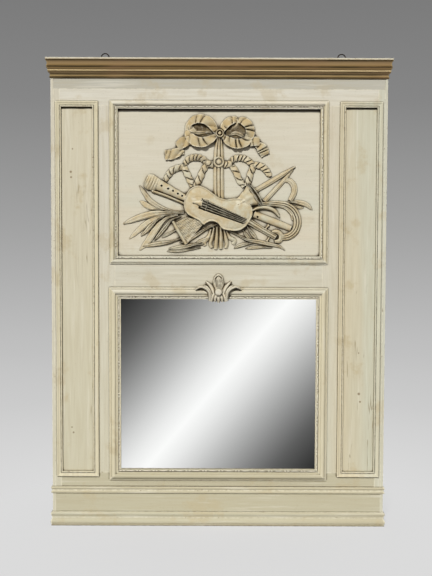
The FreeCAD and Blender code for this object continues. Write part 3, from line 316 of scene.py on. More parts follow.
def bare_wood(name, grain):
    """Unpainted old pine with its grain, darkened by age."""
    finish = Finish(name, roughness=0.75, specular=0.25)
    ring = finish.noise(60, 5, grain)
    colour = finish.mix(finish.ramp(ring, 0.3, 0.7), linear(104, 76, 46), linear(156, 122, 80))
    fibre = finish.noise(420, 3, grain)
    colour = finish.mix(finish.ramp(fibre, 0.4, 0.7, 0, 0.5), colour, linear(88, 64, 40))
    dust = finish.ramp(finish.noise(6, 4), 0.45, 0.7, 0, 0.4)
    colour = finish.mix(dust, colour, linear(140, 128, 108))
    # dirt and painted shade in the corners of the bare wood
    colour = finish.mix(finish.math("MULTIPLY", finish.crevice(0.012), 0.7), colour,
                        linear(48, 36, 22))
    finish.link(colour, "Base Color")
    finish.link(finish.ramp(fibre, 0.3, 0.7, 0.65, 0.85), "Roughness")
    finish.relief(finish.math("ADD", ring, fibre), 0.35, 0.0008)
    return finish.material


def old_iron(name, pale=(74, 66, 58)):
    """Dark forged iron with a little rust, brighter where it rubs."""
    finish = Finish(name, roughness=0.5, metallic=0.75)
    spot = finish.noise(180, 4)
    colour = finish.mix(finish.ramp(spot, 0.35, 0.7), linear(34, 30, 27), linear(*pale))
    rust = finish.ramp(finish.noise(90, 5, EVERY_WAY, (3, 3, 3)), 0.55, 0.68, 0, 0.7)
    colour = finish.mix(rust, colour, linear(96, 58, 34))
    colour = finish.mix(finish.math("MULTIPLY", finish.arris(0.0015), 0.5), colour,
                        linear(132, 122, 108))
    finish.link(colour, "Base Color")
    finish.link(finish.ramp(spot, 0.3, 0.7, 0.35, 0.7), "Roughness")
    finish.relief(spot, 0.4, 0.0005, 0.0004)
    return finish.material


def silvered_glass(name):
    """Mirror glass: a clean reflection with soft spots at the rim."""
    finish = Finish(name, roughness=0.02, metallic=1.0)
    low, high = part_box("mirror_glass")
    # old silvering greys a little within a few centimetres of the rim
    middle = (low + high) / 2
    reach = (high - low) / 2
    across = finish.math("ABSOLUTE", finish.math(
        "DIVIDE", finish.math("SUBTRACT", finish.axis(finish.place, "X"), middle.x), reach.x))
    up = finish.math("ABSOLUTE", finish.math(
        "DIVIDE", finish.math("SUBTRACT", finish.axis(finish.place, "Z"), middle.z), reach.z))
    rim = finish.ramp(finish.math("MAXIMUM", across, up), 0.93, 1.0)
    spot = finish.math("MULTIPLY", rim, finish.ramp(finish.noise(55, 4), 0.48, 0.62, 0, 0.5))
    facing = finish.axis(finish.add("ShaderNodeNewGeometry", "Normal"), "Y")
    colour = finish.mix(spot, linear(251, 252, 251), linear(150, 146, 136))
    colour = finish.mix(finish.ramp(facing, 0.6, 0.8), colour, linear(96, 62, 44))
    finish.link(colour, "Base Color")
    return finish.material


# ---------------------------------------------------------------- stage and light
FLOOR_RADIUS = 9.0
FLOOR_COLOUR = (225, 225, 226)
FLOOR_BOUNCE = 0.45
# grey of the backdrop, 0 to 255, by the sine of the angle above the horizon
BACKDROP_GREYS = ((-0.087, 184), (0.0, 160), (0.07, 144), (0.115, 133), (0.2, 123))
# grey of the floor by its distance in metres from the object
FLOOR_GREYS = ((0.0, 225), (1.4, 214), (2.95, 202), (5.7, 191), (9.0, 184))
AMBIENT = 0.25
MIRROR_HALF_ACROSS = 0.0915
MIRROR_MIDDLE_DOWN = -0.1485
MIRROR_HALF_DOWN = 0.0805
# grey that the mirror sees by the distance from the bright band
MIRROR_GREYS = ((0, 255), (24, 237), (47, 213), (94, 155), (140, 96), (187, 51), (205, 45),
                (330, 110), (800, 170))


def grey_steps(tree, value, steps):
    """A grey that passes through the given (value, display grey) steps."""
    first, last = steps[0][0], steps[-1][0]
    share = tree.nodes.new("ShaderNodeMapRange")
    tree.links.new(value, share.inputs["Value"])
    share.inputs["From Min"].default_value = first
    share.inputs["From Max"].default_value = last
    ramp = tree.nodes.new("ShaderNodeValToRGB")
    tree.links.new(share.outputs[0], ramp.inputs["Fac"])
    points = ramp.color_ramp.elements
    points[1].position = 1.0
    for place, _ in steps[1:-1]:
        points.new((place - first) / (last - first))
    for point, (_, grey) in zip(points, steps):
        point.color = (grey / 255, grey / 255, grey / 255, 1)
    gamma = tree.nodes.new("ShaderNodeGamma")
    tree.links.new(ramp.outputs["Color"], gamma.inputs["Color"])
    gamma.inputs["Gamma"].default_value = 2.2
    return gamma.outputs[0]


def lit_world():
    """Plain studio light, with a grey backdrop and a soft bright band for the mirror."""
    world = bpy.data.worlds.new("studio")
    bpy.context.scene.world = world
    world.use_nodes = True
    tree = world.node_tree
    tree.nodes.clear()

    def add(kind, output=0, inputs=None, **settings):
        return Finish.add(holder, kind, output, inputs, **settings)

    class holder:
        pass

    holder.tree = tree
    output = tree.nodes.new("ShaderNodeOutputWorld")
    direction = add("ShaderNodeTexCoord", "Generated")
    parts = tree.nodes.new("ShaderNodeSeparateXYZ")
    tree.links.new(direction, parts.inputs[0])

    def calc(operation, first, second=0.0):
        return add("ShaderNodeMath", 0, {0: first, 1: second}, operation=operation)

    backdrop = grey_steps(tree, parts.outputs["Z"], BACKDROP_GREYS)
    # what the mirror sees: a bright band that rises to the right, darker away from it
    forward = calc("MAXIMUM", calc("MULTIPLY", parts.outputs["Y"], -1.0), 0.05)
    across = calc("DIVIDE", calc("DIVIDE", parts.outputs["X"], forward), MIRROR_HALF_ACROSS)
    down = calc("DIVIDE", parts.outputs["Z"], forward)
    down = calc("DIVIDE", calc("SUBTRACT", down, MIRROR_MIDDLE_DOWN), MIRROR_HALF_DOWN)
    away = calc("ABSOLUTE", calc("SUBTRACT", calc("MULTIPLY", across, 107.0),
                                 calc("MULTIPLY", down, 80.0)))
    seen = grey_steps(tree, away, MIRROR_GREYS)
    path = tree.nodes.new("ShaderNodeLightPath")
    shown = add("ShaderNodeMix", 2, {0: path.outputs["Is Glossy Ray"],
                                     6: linear(232, 231, 228), 7: seen}, data_type="RGBA")
    shown = add("ShaderNodeMix", 2, {0: path.outputs["Is Camera Ray"], 6: shown, 7: backdrop},
                data_type="RGBA")
    direct = calc("MAXIMUM", path.outputs["Is Camera Ray"], path.outputs["Is Glossy Ray"])
    strength = add("ShaderNodeMapRange", 0, {"Value": direct, "To Min": AMBIENT,
                                             "To Max": 1.0})
    background = tree.nodes.new("ShaderNodeBackground")
    tree.links.new(shown, background.inputs["Color"])
    tree.links.new(strength, background.inputs["Strength"])
    tree.links.new(background.outputs[0], output.inputs["Surface"])


def pale_floor():
    """A pale floor that fades into the backdrop far from the object."""
    finish = Finish("pale_floor", roughness=0.85, specular=0.1)
    finish.shader.inputs["Base Color"].default_value = linear(*FLOOR_COLOUR)
    away = finish.add("ShaderNodeVectorMath", "Value", {0: finish.place}, operation="LENGTH")
    seen = finish.add("ShaderNodeLightPath", "Is Camera Ray")
    glow = finish.add("ShaderNodeEmission", inputs={
        "Color": grey_steps(finish.tree, away, FLOOR_GREYS),
        "Strength": finish.ramp(seen, 0, 1, FLOOR_BOUNCE, 1)})
    share = finish.ramp(away, 0.2, 1.0, 0.72, 1)
    output = next(n for n in finish.tree.nodes if n.type == "OUTPUT_MATERIAL")
    surface = finish.add("ShaderNodeMixShader", inputs={
        0: share, 1: finish.shader.outputs["BSDF"], 2: glow})
    finish.tree.links.new(surface, output.inputs["Surface"])
    bpy.ops.mesh.primitive_circle_add(vertices=96, radius=FLOOR_RADIUS, fill_type="NGON")
    floor = bpy.context.object
    floor.name = "floor"
    floor.visible_glossy = False
    floor.data.materials.append(finish.material)


SUN_FROM = (-0.2, -0.83, 0.52)
SUN_STRENGTH = 3.15
SUN_ANGLE = math.radians(4)


def light_stage():
    """One soft light from high in front, as the dark lines under the mouldings show."""
    data = bpy.data.lights.new("key", "SUN")
    data.energy = SUN_STRENGTH
    data.angle = SUN_ANGLE
    lamp = bpy.data.objects.new("key", data)
    lamp.rotation_euler = (-Vector(SUN_FROM)).to_track_quat("-Z", "Y").to_euler()
    lamp.visible_glossy = False
    bpy.context.scene.collection.objects.link(lamp)


# ---------------------------------------------------------------- finishes of the CAD pieces
def dress(material, *names):
    for name in names:
        slots = NODES[name].data.materials
        slots.clear()
        slots.append(material)


SIDE_MOULD_WIDTH = 0.021
BEAD_WIDTH = 0.0092


def dress_frame():
    """Every piece of the case gets the paint whose grain runs along it."""
    upper, lower = (209, 203, 186), (205, 200, 178)
    upright = aged_paint("paint_upright", UPRIGHT, upper, lower)
    level = aged_paint("paint_level", LEVEL, (214, 209, 194), (190, 183, 156), foot=0.95)
    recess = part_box("left_panel_moulding")[1].z - SIDE_MOULD_WIDTH
    panel = aged_paint("paint_panel", UPRIGHT, (207, 199, 175), (202, 196, 171), 0.5, 0.6,
                       knots=True, reach=0.008, top_shadow=(recess, 0.008))
    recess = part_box("trophy_bead_strips")[1].z - BEAD_WIDTH
    field = aged_paint("paint_field", LEVEL, (212, 205, 186), (208, 201, 180), 0.25, 0.95,
                       streaks=0.16, reach=0.017, top_shadow=(recess, 0.013))
    frieze = aged_paint("paint_frieze", LEVEL, (186, 182, 168), (186, 182, 168), 0.3)
    upright_trim = aged_paint("paint_trim_upright", UPRIGHT, (214, 205, 175), (213, 204, 175),
                              0.5, 0.6)
    level_trim = aged_paint("paint_trim_level", LEVEL, (218, 212, 194), (192, 184, 156),
                            0.4, 0.8)
    edge_paint = aged_paint("paint_top_edge", LEVEL, (200, 190, 168), (200, 190, 168), 0.3)
    dress(upright, "side_board_left", "side_board_right", "stile_left", "stile_right",
          "muntin_left", "muntin_right")
    dress(level, "bottom_rail", "mid_rail", "top_rail", "plinth_board")
    dress(panel, "side_panel_left", "side_panel_right")
    dress(field, "trophy_panel")
    dress(frieze, "frieze_board")
    dress(upright_trim, "left_panel_moulding", "right_panel_moulding", "trophy_moulding_left",
          "trophy_moulding_right", "mirror_moulding_left", "mirror_moulding_right")
    dress(level_trim, "trophy_moulding_top", "trophy_moulding_bottom", "mirror_moulding_top",
          "mirror_moulding_bottom", "dado_moulding_front", "dado_moulding_return_left",
          "dado_moulding_return_right", "base_moulding_front", "base_moulding_return_left",
          "base_moulding_return_right")
    dress(edge_paint, "cornice_top_board")
    dress(gilding_with_shade("gilding"), "cornice_front", "cornice_return_left",
          "cornice_return_right")
    dress(bare_wood("pine_level", LEVEL), "rear_batten_lower", "rear_batten_upper", "joint_pegs",
          "mirror_back_board")
    dress(bare_wood("pine_strips", EVERY_WAY), "mirror_retaining_strips")
    dress(old_iron("iron"), "hanger_ring_left", "hanger_ring_right", "hanger_strap_left",
          "hanger_strap_right")
    dress(old_iron("screw_steel", (138, 130, 120)), "hanger_screws")
    dress(silvered_glass("silvered_glass"), "mirror_glass")
    carving = aged_paint("paint_carving", EVERY_WAY, (210, 201, 175), (205, 195, 165), 0.35,
                         1.0, glaze_and_shade=0.8)
    dress(carving, *[name for name in NODES if name.startswith("trophy_")
                     and "moulding" not in name and name != "trophy_panel"],
          "mirror_bead_strips", "mirror_ornament")
    return carving


# ---------------------------------------------------------------- carving
# Places on the carving are given as pixels of the photograph. The laurel spans
# from TRACED_LEFT to TRACED_RIGHT there, and that gives the carving's scale.
TRACED_MIDDLE = (219.15, 181.85)
TRACED_LEFT, TRACED_RIGHT = 123.0, 313.0
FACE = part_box("trophy_panel")[0].y
LAUREL_LOW, LAUREL_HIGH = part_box("trophy_laurel_leaves")
SCALE = (LAUREL_HIGH.x - LAUREL_LOW.x) / (TRACED_RIGHT - TRACED_LEFT)
BEAD_LOW, BEAD_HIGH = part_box("trophy_bead_strips")
MIDDLE_HEIGHT = (BEAD_LOW.z + BEAD_HIGH.z) / 2
MM = 0.001
SUNK = -0.0004


def on_panel(across, down, height):
    """A place over the face of the upper panel, height in millimetres above it."""
    return Vector(((across - TRACED_MIDDLE[0]) * SCALE, FACE - height * MM,
                   MIDDLE_HEIGHT + (TRACED_MIDDLE[1] - down) * SCALE))


def smooth(points, steps, closed=False):
    """Points evenly spaced along a smooth curve through the given ones."""
    points = [Vector(point[:2]) for point in points]
    count = len(points)
    if closed:
        padded = [points[-1]] + points + points[:2]
    else:
        padded = [2 * points[0] - points[1]] + points + [2 * points[-1] - points[-2]]
    fine = []
    spans = count if closed else count - 1
    for span in range(spans):
        a, b, c, d = padded[span:span + 4]
        for step in range(16):
            t = step / 16
            fine.append(0.5 * (2 * b + (c - a) * t + (2 * a - 5 * b + 4 * c - d) * t ** 2
                               + (3 * b - a - 3 * c + d) * t ** 3))
    fine.append(points[0].copy() if closed else points[-1].copy())
    reach = [0.0]
    for first, second in zip(fine, fine[1:]):
        reach.append(reach[-1] + (second - first).length)
    even, index = [], 0
    for step in range(steps + 1):
        goal = reach[-1] * step / steps
        while index < len(fine) - 2 and reach[index + 1] < goal:
            index += 1
        share = (goal - reach[index]) / max(reach[index + 1] - reach[index], 1e-9)
        even.append(fine[index].lerp(fine[index + 1], min(max(share, 0), 1)))
    return even[:-1] if closed else even


def along(values):
    """A function of t that passes evenly through the given values."""
    def value(t):
        place = t * (len(values) - 1)
        index = min(int(place), len(values) - 2)
        share = place - index
        share = share * share * (3 - 2 * share)
        return values[index] * (1 - share) + values[index + 1] * share
    return value


def rounded(u, t):
    return math.sqrt(max(1 - 0.82 * u * u, 0))


def ridged(u, t):
    return 0.42 + 0.58 * (1 - abs(u)) ** 0.8


def veined(u, t):
    """A leaf's section: a raised midrib with a groove each side, and rolled edges."""
    size = abs(u)
    rib = math.exp(-(size / 0.16) ** 2)
    roll = math.sin(min(size, 1) * math.pi) ** 2
    return 0.5 + 0.32 * rib + 0.38 * roll


def grooved(count, depth=0.3):
    """A rounded section with so many ridges side by side."""
    def section(u, t):
        return rounded(u, t) * (1 - depth + depth * abs(math.cos(u * math.pi * count / 2)))
    return section


def pleated(count, depth=0.3, slant=0.0, tilt=0.0, lip=0.1):
    """A ribbon's section: uneven folds across it, lifted edges, and a tilt to one side."""
    def section(u, t):
        place = t * count + 0.22 * math.sin(t * count * 2.4) + slant * u
        fold = abs(math.sin(place * math.pi)) ** 0.7
        return 0.8 + lip * abs(u) ** 3 - depth * (1 - fold) + 0.08 * (1 - u * u) + tilt * u
    return section


def husked(count, depth=0.62, slant=0.36):
    """A garland's section: husks wound one over the next, each higher at its free end."""
    def section(u, t):
        place = t * count + 0.16 * math.sin(t * count * 1.9)
        step = (place + slant * u) % 1.0
        return math.sqrt(max(1 - 0.7 * u * u, 0)) * (1 - depth + depth * step ** 0.6)
    return section


def scalloped(width, count):
    """A width that swells at each husk."""
    return lambda t: width(t) * (0.86 + 0.2 * abs(math.sin(t * count * math.pi)))


class Carving:
    """The mesh of one carved piece, collected form by form."""

    def __init__(self, name, place=on_panel):
        self.name = name
        self.place = place
        self.vertices = []
        self.faces = []

    def rows(self, rows, closed_end=True):
        """A skin over rows of points, each row a closed loop, with both ends filled."""
        start, width = len(self.vertices), len(rows[0])
        for row in rows:
            self.vertices.extend(row)
        for r in range(len(rows) - 1):
            for c in range(width):
                after = (c + 1) % width
                low, high = start + r * width, start + (r + 1) * width
                self.faces.append((low + c, low + after, high + after, high + c))
        self.faces.append(tuple(range(start, start + width)))
        last = start + (len(rows) - 1) * width
        self.faces.append(tuple(range(last, last + width)))

    def strip(self, spine, width, height, section=rounded, steps=28, across=11, foot=0.8,
              floor=-0.4):
        """A raised form along a spine. Width is half its breadth in pixels."""
        line = smooth(spine, steps)
        width = width if callable(width) else along((width, width))
        height = height if callable(height) else along((height, height))
        rows = []
        for step, spot in enumerate(line):
            t = step / steps
            ahead = line[min(step + 1, steps)] - line[max(step - 1, 0)]
            ahead.normalize()
            side = Vector((-ahead.y, ahead.x))
            half = max(width(t), 0.06)
            row = [self.place(*(spot - side * half * foot), floor)]
            for index in range(across):
                u = -1 + 2 * index / (across - 1)
                row.append(self.place(*(spot + side * half * u), height(t) * section(u, t)))
            row.append(self.place(*(spot + side * half * foot), floor))
            rows.append(row)
        self.rows(rows)

    def disc(self, centre, radius, profile, floor=-0.4, segments=28):
        """A turned form. The profile gives (share of the radius, height) from the rim in."""
        centre = Vector(centre)
        rings = [(0.9, floor)] + list(profile)
        start = len(self.vertices)
        for share, height in rings:
            for index in range(segments):
                turn = 2 * math.pi * index / segments
                spot = centre + Vector((math.cos(turn), math.sin(turn))) * radius * share
                self.vertices.append(self.place(*spot, height))
        for ring in range(len(rings) - 1):
            for index in range(segments):
                after = (index + 1) % segments
                low, high = start + ring * segments, start + (ring + 1) * segments
                self.faces.append((low + index, low + after, high + after, high + index))
        self.faces.append(tuple(range(start, start + segments)))
        last = start + (len(rings) - 1) * segments
        self.faces.append(tuple(range(last, last + segments)))

    def plate(self, outline, surface, spacing=0.6, floor=-0.4, rounded_outline=True):
        """A form over a closed outline; surface(across, down, inset) gives its height."""
        if rounded_outline:
            rim = smooth(outline, len(outline) * 9, closed=True)
        else:
            rim = []
            for first, second in zip(outline, outline[1:] + outline[:1]):
                first, second = Vector(first), Vector(second)
                cuts = max(int((second - first).length / spacing), 1)
                rim.extend(first.lerp(second, cut / cuts) for cut in range(cuts))
        ends = np.array([tuple(point) for point in rim])
        after = np.roll(ends, -1, axis=0)

        def inset(spot):
            step = after - ends
            share = ((spot - ends) * step).sum(1) / np.maximum((step ** 2).sum(1), 1e-9)
            near = ends + step * np.clip(share, 0, 1)[:, None]
            return float(np.sqrt(((near - spot) ** 2).sum(1)).min())

        def inside(spot):
            above = ends[:, 1] > spot[1]
            crossing = above != (after[:, 1] > spot[1])
            rise = np.where(after[:, 1] == ends[:, 1], 1e-9, after[:, 1] - ends[:, 1])
            cut = ends[:, 0] + (spot[1] - ends[:, 1]) / rise * (after[:, 0] - ends[:, 0])
            return np.count_nonzero(crossing & (spot[0] < cut)) % 2 == 1

        spots = list(rim)
        low, high = ends.min(0), ends.max(0)
        down, line = low[1], 0
        while down < high[1]:
            across = low[0] + (line % 2) * spacing / 2
            while across < high[0]:
                spot = np.array((across, down))
                if inside(spot) and inset(spot) > spacing * 0.45:
                    spots.append(Vector(spot))
                across += spacing
            down += spacing * 0.87
            line += 1
        flat, _, triangles, *_ = delaunay_2d_cdt(
            spots, [], [list(range(len(rim)))], 1, 1e-5)
        start = len(self.vertices)
        for spot in flat:
            depth = inset(np.array(spot))
            self.vertices.append(self.place(*spot, surface(spot.x, spot.y, depth)))
        for triangle in triangles:
            middle = sum((np.array(flat[index]) for index in triangle), np.zeros(2)) / 3
            if inside(middle):
                self.faces.append(tuple(start + index for index in triangle))
        # the walls go down from the rim, whose points come back in the order they went in
        foot = len(self.vertices)
        count = len(rim)
        for spot in rim:
            self.vertices.append(self.place(*spot, floor))
        for index in range(count):
            after_index = (index + 1) % count
            self.faces.append((start + index, start + after_index, foot + after_index,
                               foot + index))
        self.faces.append(tuple(range(foot, foot + count)))

    def finish(self, material, node, uneven=0.5, sharp=48):
        """Make the object, with the slight unevenness of a hand-cut surface."""
        shape = bmesh.new()
        made = []
        for spot in self.vertices:
            shift = noise.noise_vector(spot * 45) * uneven * MM
            made.append(shape.verts.new(spot + shift))
        for face in self.faces:
            shape.faces.new([made[index] for index in face])
        bmesh.ops.recalc_face_normals(shape, faces=shape.faces)
        mesh = bpy.data.meshes.new(self.name)
        shape.to_mesh(mesh)
        shape.free()
        mesh.shade_smooth()
        mesh.set_sharp_from_angle(angle=math.radians(sharp))
        mesh.materials.append(material)
        piece = bpy.data.objects.new(self.name, mesh)
        bpy.context.scene.collection.objects.link(piece)
        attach(piece, "root")
        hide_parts(node)
        return piece


BUTTON = ((1.0, 0.45), (0.97, 0.85), (0.86, 1.0), (0.7, 0.92), (0.58, 0.62), (0.5, 0.6),
          (0.44, 0.85), (0.3, 1.0), (0.1, 1.06))


def button(height):
    """A round boss: a raised rim, a groove, and a domed middle."""
    return [(share, height * level) for share, level in BUTTON]


def carve_bow(paint, hollow_shade):
    """The ribbon bow: two open loops, a knot, and two folded tails."""
    bow = Carving("bow_carving")
    # left loop: the far inside of the band first, a low sheet in dark paint that stands in for the shade in
    # the opening, then the band itself
    inside = Carving("bow_inside_shade")
    inside.strip(((188.4, 127), (200, 127.4), (213, 131)), along((3, 6.2, 1.8)), 7, rounded, 24)
    inside.strip(((190, 134), (202, 133.6), (213, 132.6)), along((2, 4.4, 1.2)), 4, rounded, 24)
    bow.strip(((192, 131), (199, 132.4), (207, 131.4), (212, 132.4)), along((1.6, 2.0, 1.6, 0.6)),
              along((10, 13, 12, 8)), veined, 22)
    bow.strip(((189.6, 124.8), (191.6, 128.6), (196, 130.6)), along((1.4, 2.6, 1.2)),
              along((9, 15, 9)), pleated(2, 0.4), 20)
    bow.strip(((216, 132.4), (212.6, 125.2), (206.5, 119.8), (199, 118.4), (192.4, 120.6),
               (188.4, 125), (187.6, 130)), along((2.0, 4.0, 4.6, 4.7, 4.0, 3.0, 2.6)),
              along((16, 21, 25, 25, 21, 13, 8)), pleated(4.5, 0.42, 0.3, -0.22), 66, 13, 0.6)
    bow.strip(((187.8, 128.6), (189.4, 135.5), (195, 140.4), (203, 141.6), (210.5, 138.6),
               (217, 134.4)), along((2.8, 4.6, 5.2, 5.0, 4.0, 2.0)),
              along((8, 15, 22, 24, 21, 15)), pleated(4.5, 0.42, -0.3, 0.08), 62, 13, 0.6)
    # right loop, with its own low dark sheet of painted shade in the opening
    inside.strip(((226, 131.4), (235, 128.4), (246, 129)), along((1.8, 6.0, 5)), 7, rounded, 24)
    inside.strip(((226, 133.4), (236, 134.4), (246, 135)), along((1.6, 4.6, 4)), 4, rounded, 24)
    inside.finish(hollow_shade, "trophy_bow_ribbon")
    bow.strip(((229, 134.6), (236, 132.6), (242.6, 135.6), (245, 139)),
              along((0.8, 2.0, 2.2, 1.2)), along((8, 13, 14, 10)), veined, 22)
    bow.strip(((238, 121.6), (236.4, 125.2), (231.6, 128.4)), along((1.8, 2.2, 0.8)),
              along((16, 15, 9)), ridged, 18)
    bow.strip(((222.4, 131), (225.4, 124), (231, 120), (237.5, 118.4)),
              along((2.0, 4.2, 4.2, 3.0)), along((16, 21, 20, 11)), pleated(3, 0.5, 0.2, 0.2), 30,
              13, 0.6)
    bow.strip(((237.6, 119.6), (243.6, 120.6), (249, 125.6), (250.2, 132.6), (248, 139)),
              along((2.6, 4.4, 4.6, 4.4, 3.8)), along((14, 22, 25, 22, 17)),
              pleated(4.5, 0.42, 0.3, 0.16), 58, 13, 0.6)
    bow.strip(((249.6, 135.6), (245, 141.6), (236.8, 143), (229, 140.6), (223, 135.4)),
              along((3.8, 4.6, 5.0, 4.4, 2.2)), along((16, 22, 24, 20, 15)),
              pleated(5.5, 0.42, -0.3, -0.06), 62, 13, 0.6)
    # tails, each folded back on itself
    bow.strip(((190.4, 139.4), (184, 141.6), (177.4, 146)), along((4.2, 5.4, 4.4)),
              along((15, 20, 13)), pleated(2, 0.4, 0.5, 0.05), 30, 13, 0.65)
    bow.strip(((184.4, 151.6), (178.6, 151.6), (171.4, 153.8), (164.8, 154.6)),
              along((2.0, 4.6, 5.2, 5.0)), along((9, 14, 13, 10)), pleated(3, 0.5, 0.55), 40, 13,
              0.65)
    bow.strip(((249, 142.5), (254.5, 140.6), (259.6, 140.6)), along((3.4, 4.6, 4.2)),
              along((14, 20, 15)), pleated(2, 0.4, 0.1), 26, 13, 0.65)
    bow.strip(((257, 143.4), (261.5, 147), (265.6, 154.2)), along((3.4, 5.4, 4.8)),
              along((12, 18, 12)), pleated(4, 0.42, 0.15), 40, 13, 0.65)
    bow.disc((219.8, 132.6), 4.2, button(23))
    bow.finish(paint, "trophy_bow_ribbon")


# the cloth at the foot of the staff: the spine, half width and height of each fold
FAN = (
    (((211, 228.6), (209.4, 235.6), (204.4, 241.4), (205.4, 245)), 2.1, 10),
    (((214.4, 227), (212.4, 236.4), (210.6, 243), (212, 247)), 1.8, 13),
    (((217.4, 226), (217, 237), (216, 248.6)), 1.9, 12), (((221, 226), (221.4, 237), (221.4, 248.4)), 1.9, 13),
    (((224.4, 228.6), (226, 237), (227.4, 243.4), (226, 247.4)), 1.8, 11),
    (((226.8, 230.4), (229.8, 236.4), (235.4, 240), (233.4, 243.4)), 2.0, 9))


def carve_staff(paint):
    """The reeded staff with its rosette, and the ribbon that fans out at its foot."""
    staff = Carving("staff_carving")
    staff.strip(((219.4, 136.5), (218.8, 160), (219, 199)), along((3.0, 5.0, 5.2, 5.3, 5.3)), 12,
                grooved(3, 0.42), 60, 19, 0.9)
    staff.disc((219, 161.2), 5.6, button(17))
    for spine, half, height in FAN:
        staff.strip(spine, along((half * 0.6, half, half * 0.9)), along((height, height, height * 0.7)),
                    ridged, 28, 11, 0.85)
    staff.finish(paint, "trophy_staff_ribbon")


# each run of husks: the points of its spine, and how many husks
GARLAND_RUNS = (
    (((215, 163.5), (210, 163.5), (206.5, 161)), 2),
    (((207.5, 162.5), (203, 158.3), (196.5, 156.6), (189.5, 158), (184.5, 163.5)), 7),
    (((184.5, 166), (179, 167), (172.5, 169.5), (168.3, 174.5), (165, 180)), 5),
    (((183, 164.5), (186.5, 171.5), (189.5, 178), (192.5, 185.5)), 3.4),
    (((206.5, 164.5), (203, 170), (200.3, 176.5), (195.5, 185.5)), 3.4),
    (((223, 163.5), (228, 163.5), (231.5, 161)), 2),
    (((230.5, 160), (237, 157), (244.5, 157.6), (250.5, 161.5), (254, 165)), 7),
    (((253, 163.5), (259, 164.5), (265.5, 168), (270.5, 175.5)), 5),
    (((232, 165), (236.5, 171.5), (239.5, 179), (244.5, 185.5)), 3.4),
    (((254, 165), (250.8, 172), (249.6, 178), (246.5, 185)), 3.4))


def carve_garlands(paint):
    """Swags of husks hung from the rosette."""
    garland = Carving("garland_carving")
    for spine, count in GARLAND_RUNS:
        width = scalloped(along((2.7, 3.1, 3.2, 3.1, 2.4)), count)
        garland.strip(spine, width, along((12, 15, 15, 14, 10)), husked(count),
                      round(count * 13), 15, 0.7)
    garland.finish(paint, "trophy_garland", 0.7)


FINGER_HOLES = ((161.9, 185.2), (168.4, 187.9), (173.3, 190.2), (178.2, 193.0), (182.4, 195.1))
HOLE_RADIUS = 1.0


def carve_recorder(paint):
    """A recorder with a ringed cap, five finger holes, and a rod along its lower side."""
    recorder = Carving("recorder_carving")
    first, last = Vector((155.5, 183.0)), Vector((185.5, 197.6))
    ahead = (last - first).normalized()
    side = Vector((-ahead.y, ahead.x))
    half = along((6.0, 5.2, 4.3, 3.6))

    def drilled(u, t):
        spot = first.lerp(last, t) + side * half(t) * u
        near = min((spot - Vector(hole)).length for hole in FINGER_HOLES)
        dip = 1 - 0.55 * max(0.0, 1 - (near / HOLE_RADIUS) ** 4)
        return rounded(u, t) * dip

    recorder.strip((first, last), half, along((22, 22, 21, 20)), drilled, 96, 31, 0.75)
    recorder.strip(((152, 190), (168, 195.6), (184.6, 202.6)), along((1.6, 1.5, 1.3)), 17, rounded,
                   24, 9, 0.7)
    # the cap: a flared cup, cut by rings
    cap = ((146.2, 179.4), (157.5, 184.6))

    def ringed(u, t):
        return rounded(u, t) * (0.88 + 0.12 * abs(math.cos(t * 4.5 * math.pi)))

    recorder.strip(cap, along((6.8, 8.0, 7.4, 6.6)), along((23, 27, 27, 25)), ringed, 54, 15, 0.75)
    recorder.finish(paint, "trophy_recorder", 0.3)


VIOLIN_RIM = ((184, 204), (186, 195), (190.5, 188), (198, 184.8), (206, 187.4), (213, 192.4),
              (220, 197), (227, 198.6), (235, 197.4), (245.5, 198.8), (252, 205.5), (253, 213.5),
              (249.6, 221), (244, 227.4), (237, 230), (229, 229.6), (222.6, 228), (218, 222.4),
              (212, 220.4), (207, 222), (203.9, 223.9), (199, 219.8), (193, 216.6), (186.5, 212))
STRINGS_FROM = ((203.4, 198.8), (200.8, 206.2))
STRINGS_TO = ((247.2, 218.2), (245.2, 222))
STRING_COUNT = 4
F_HOLE = ((193.5, 202.6), (197.5, 203.4), (200.5, 206.4), (204.5, 209.2))
F_HOLE_UPPER = ((193.5, 197.4), (198, 196.4), (204, 197.2))


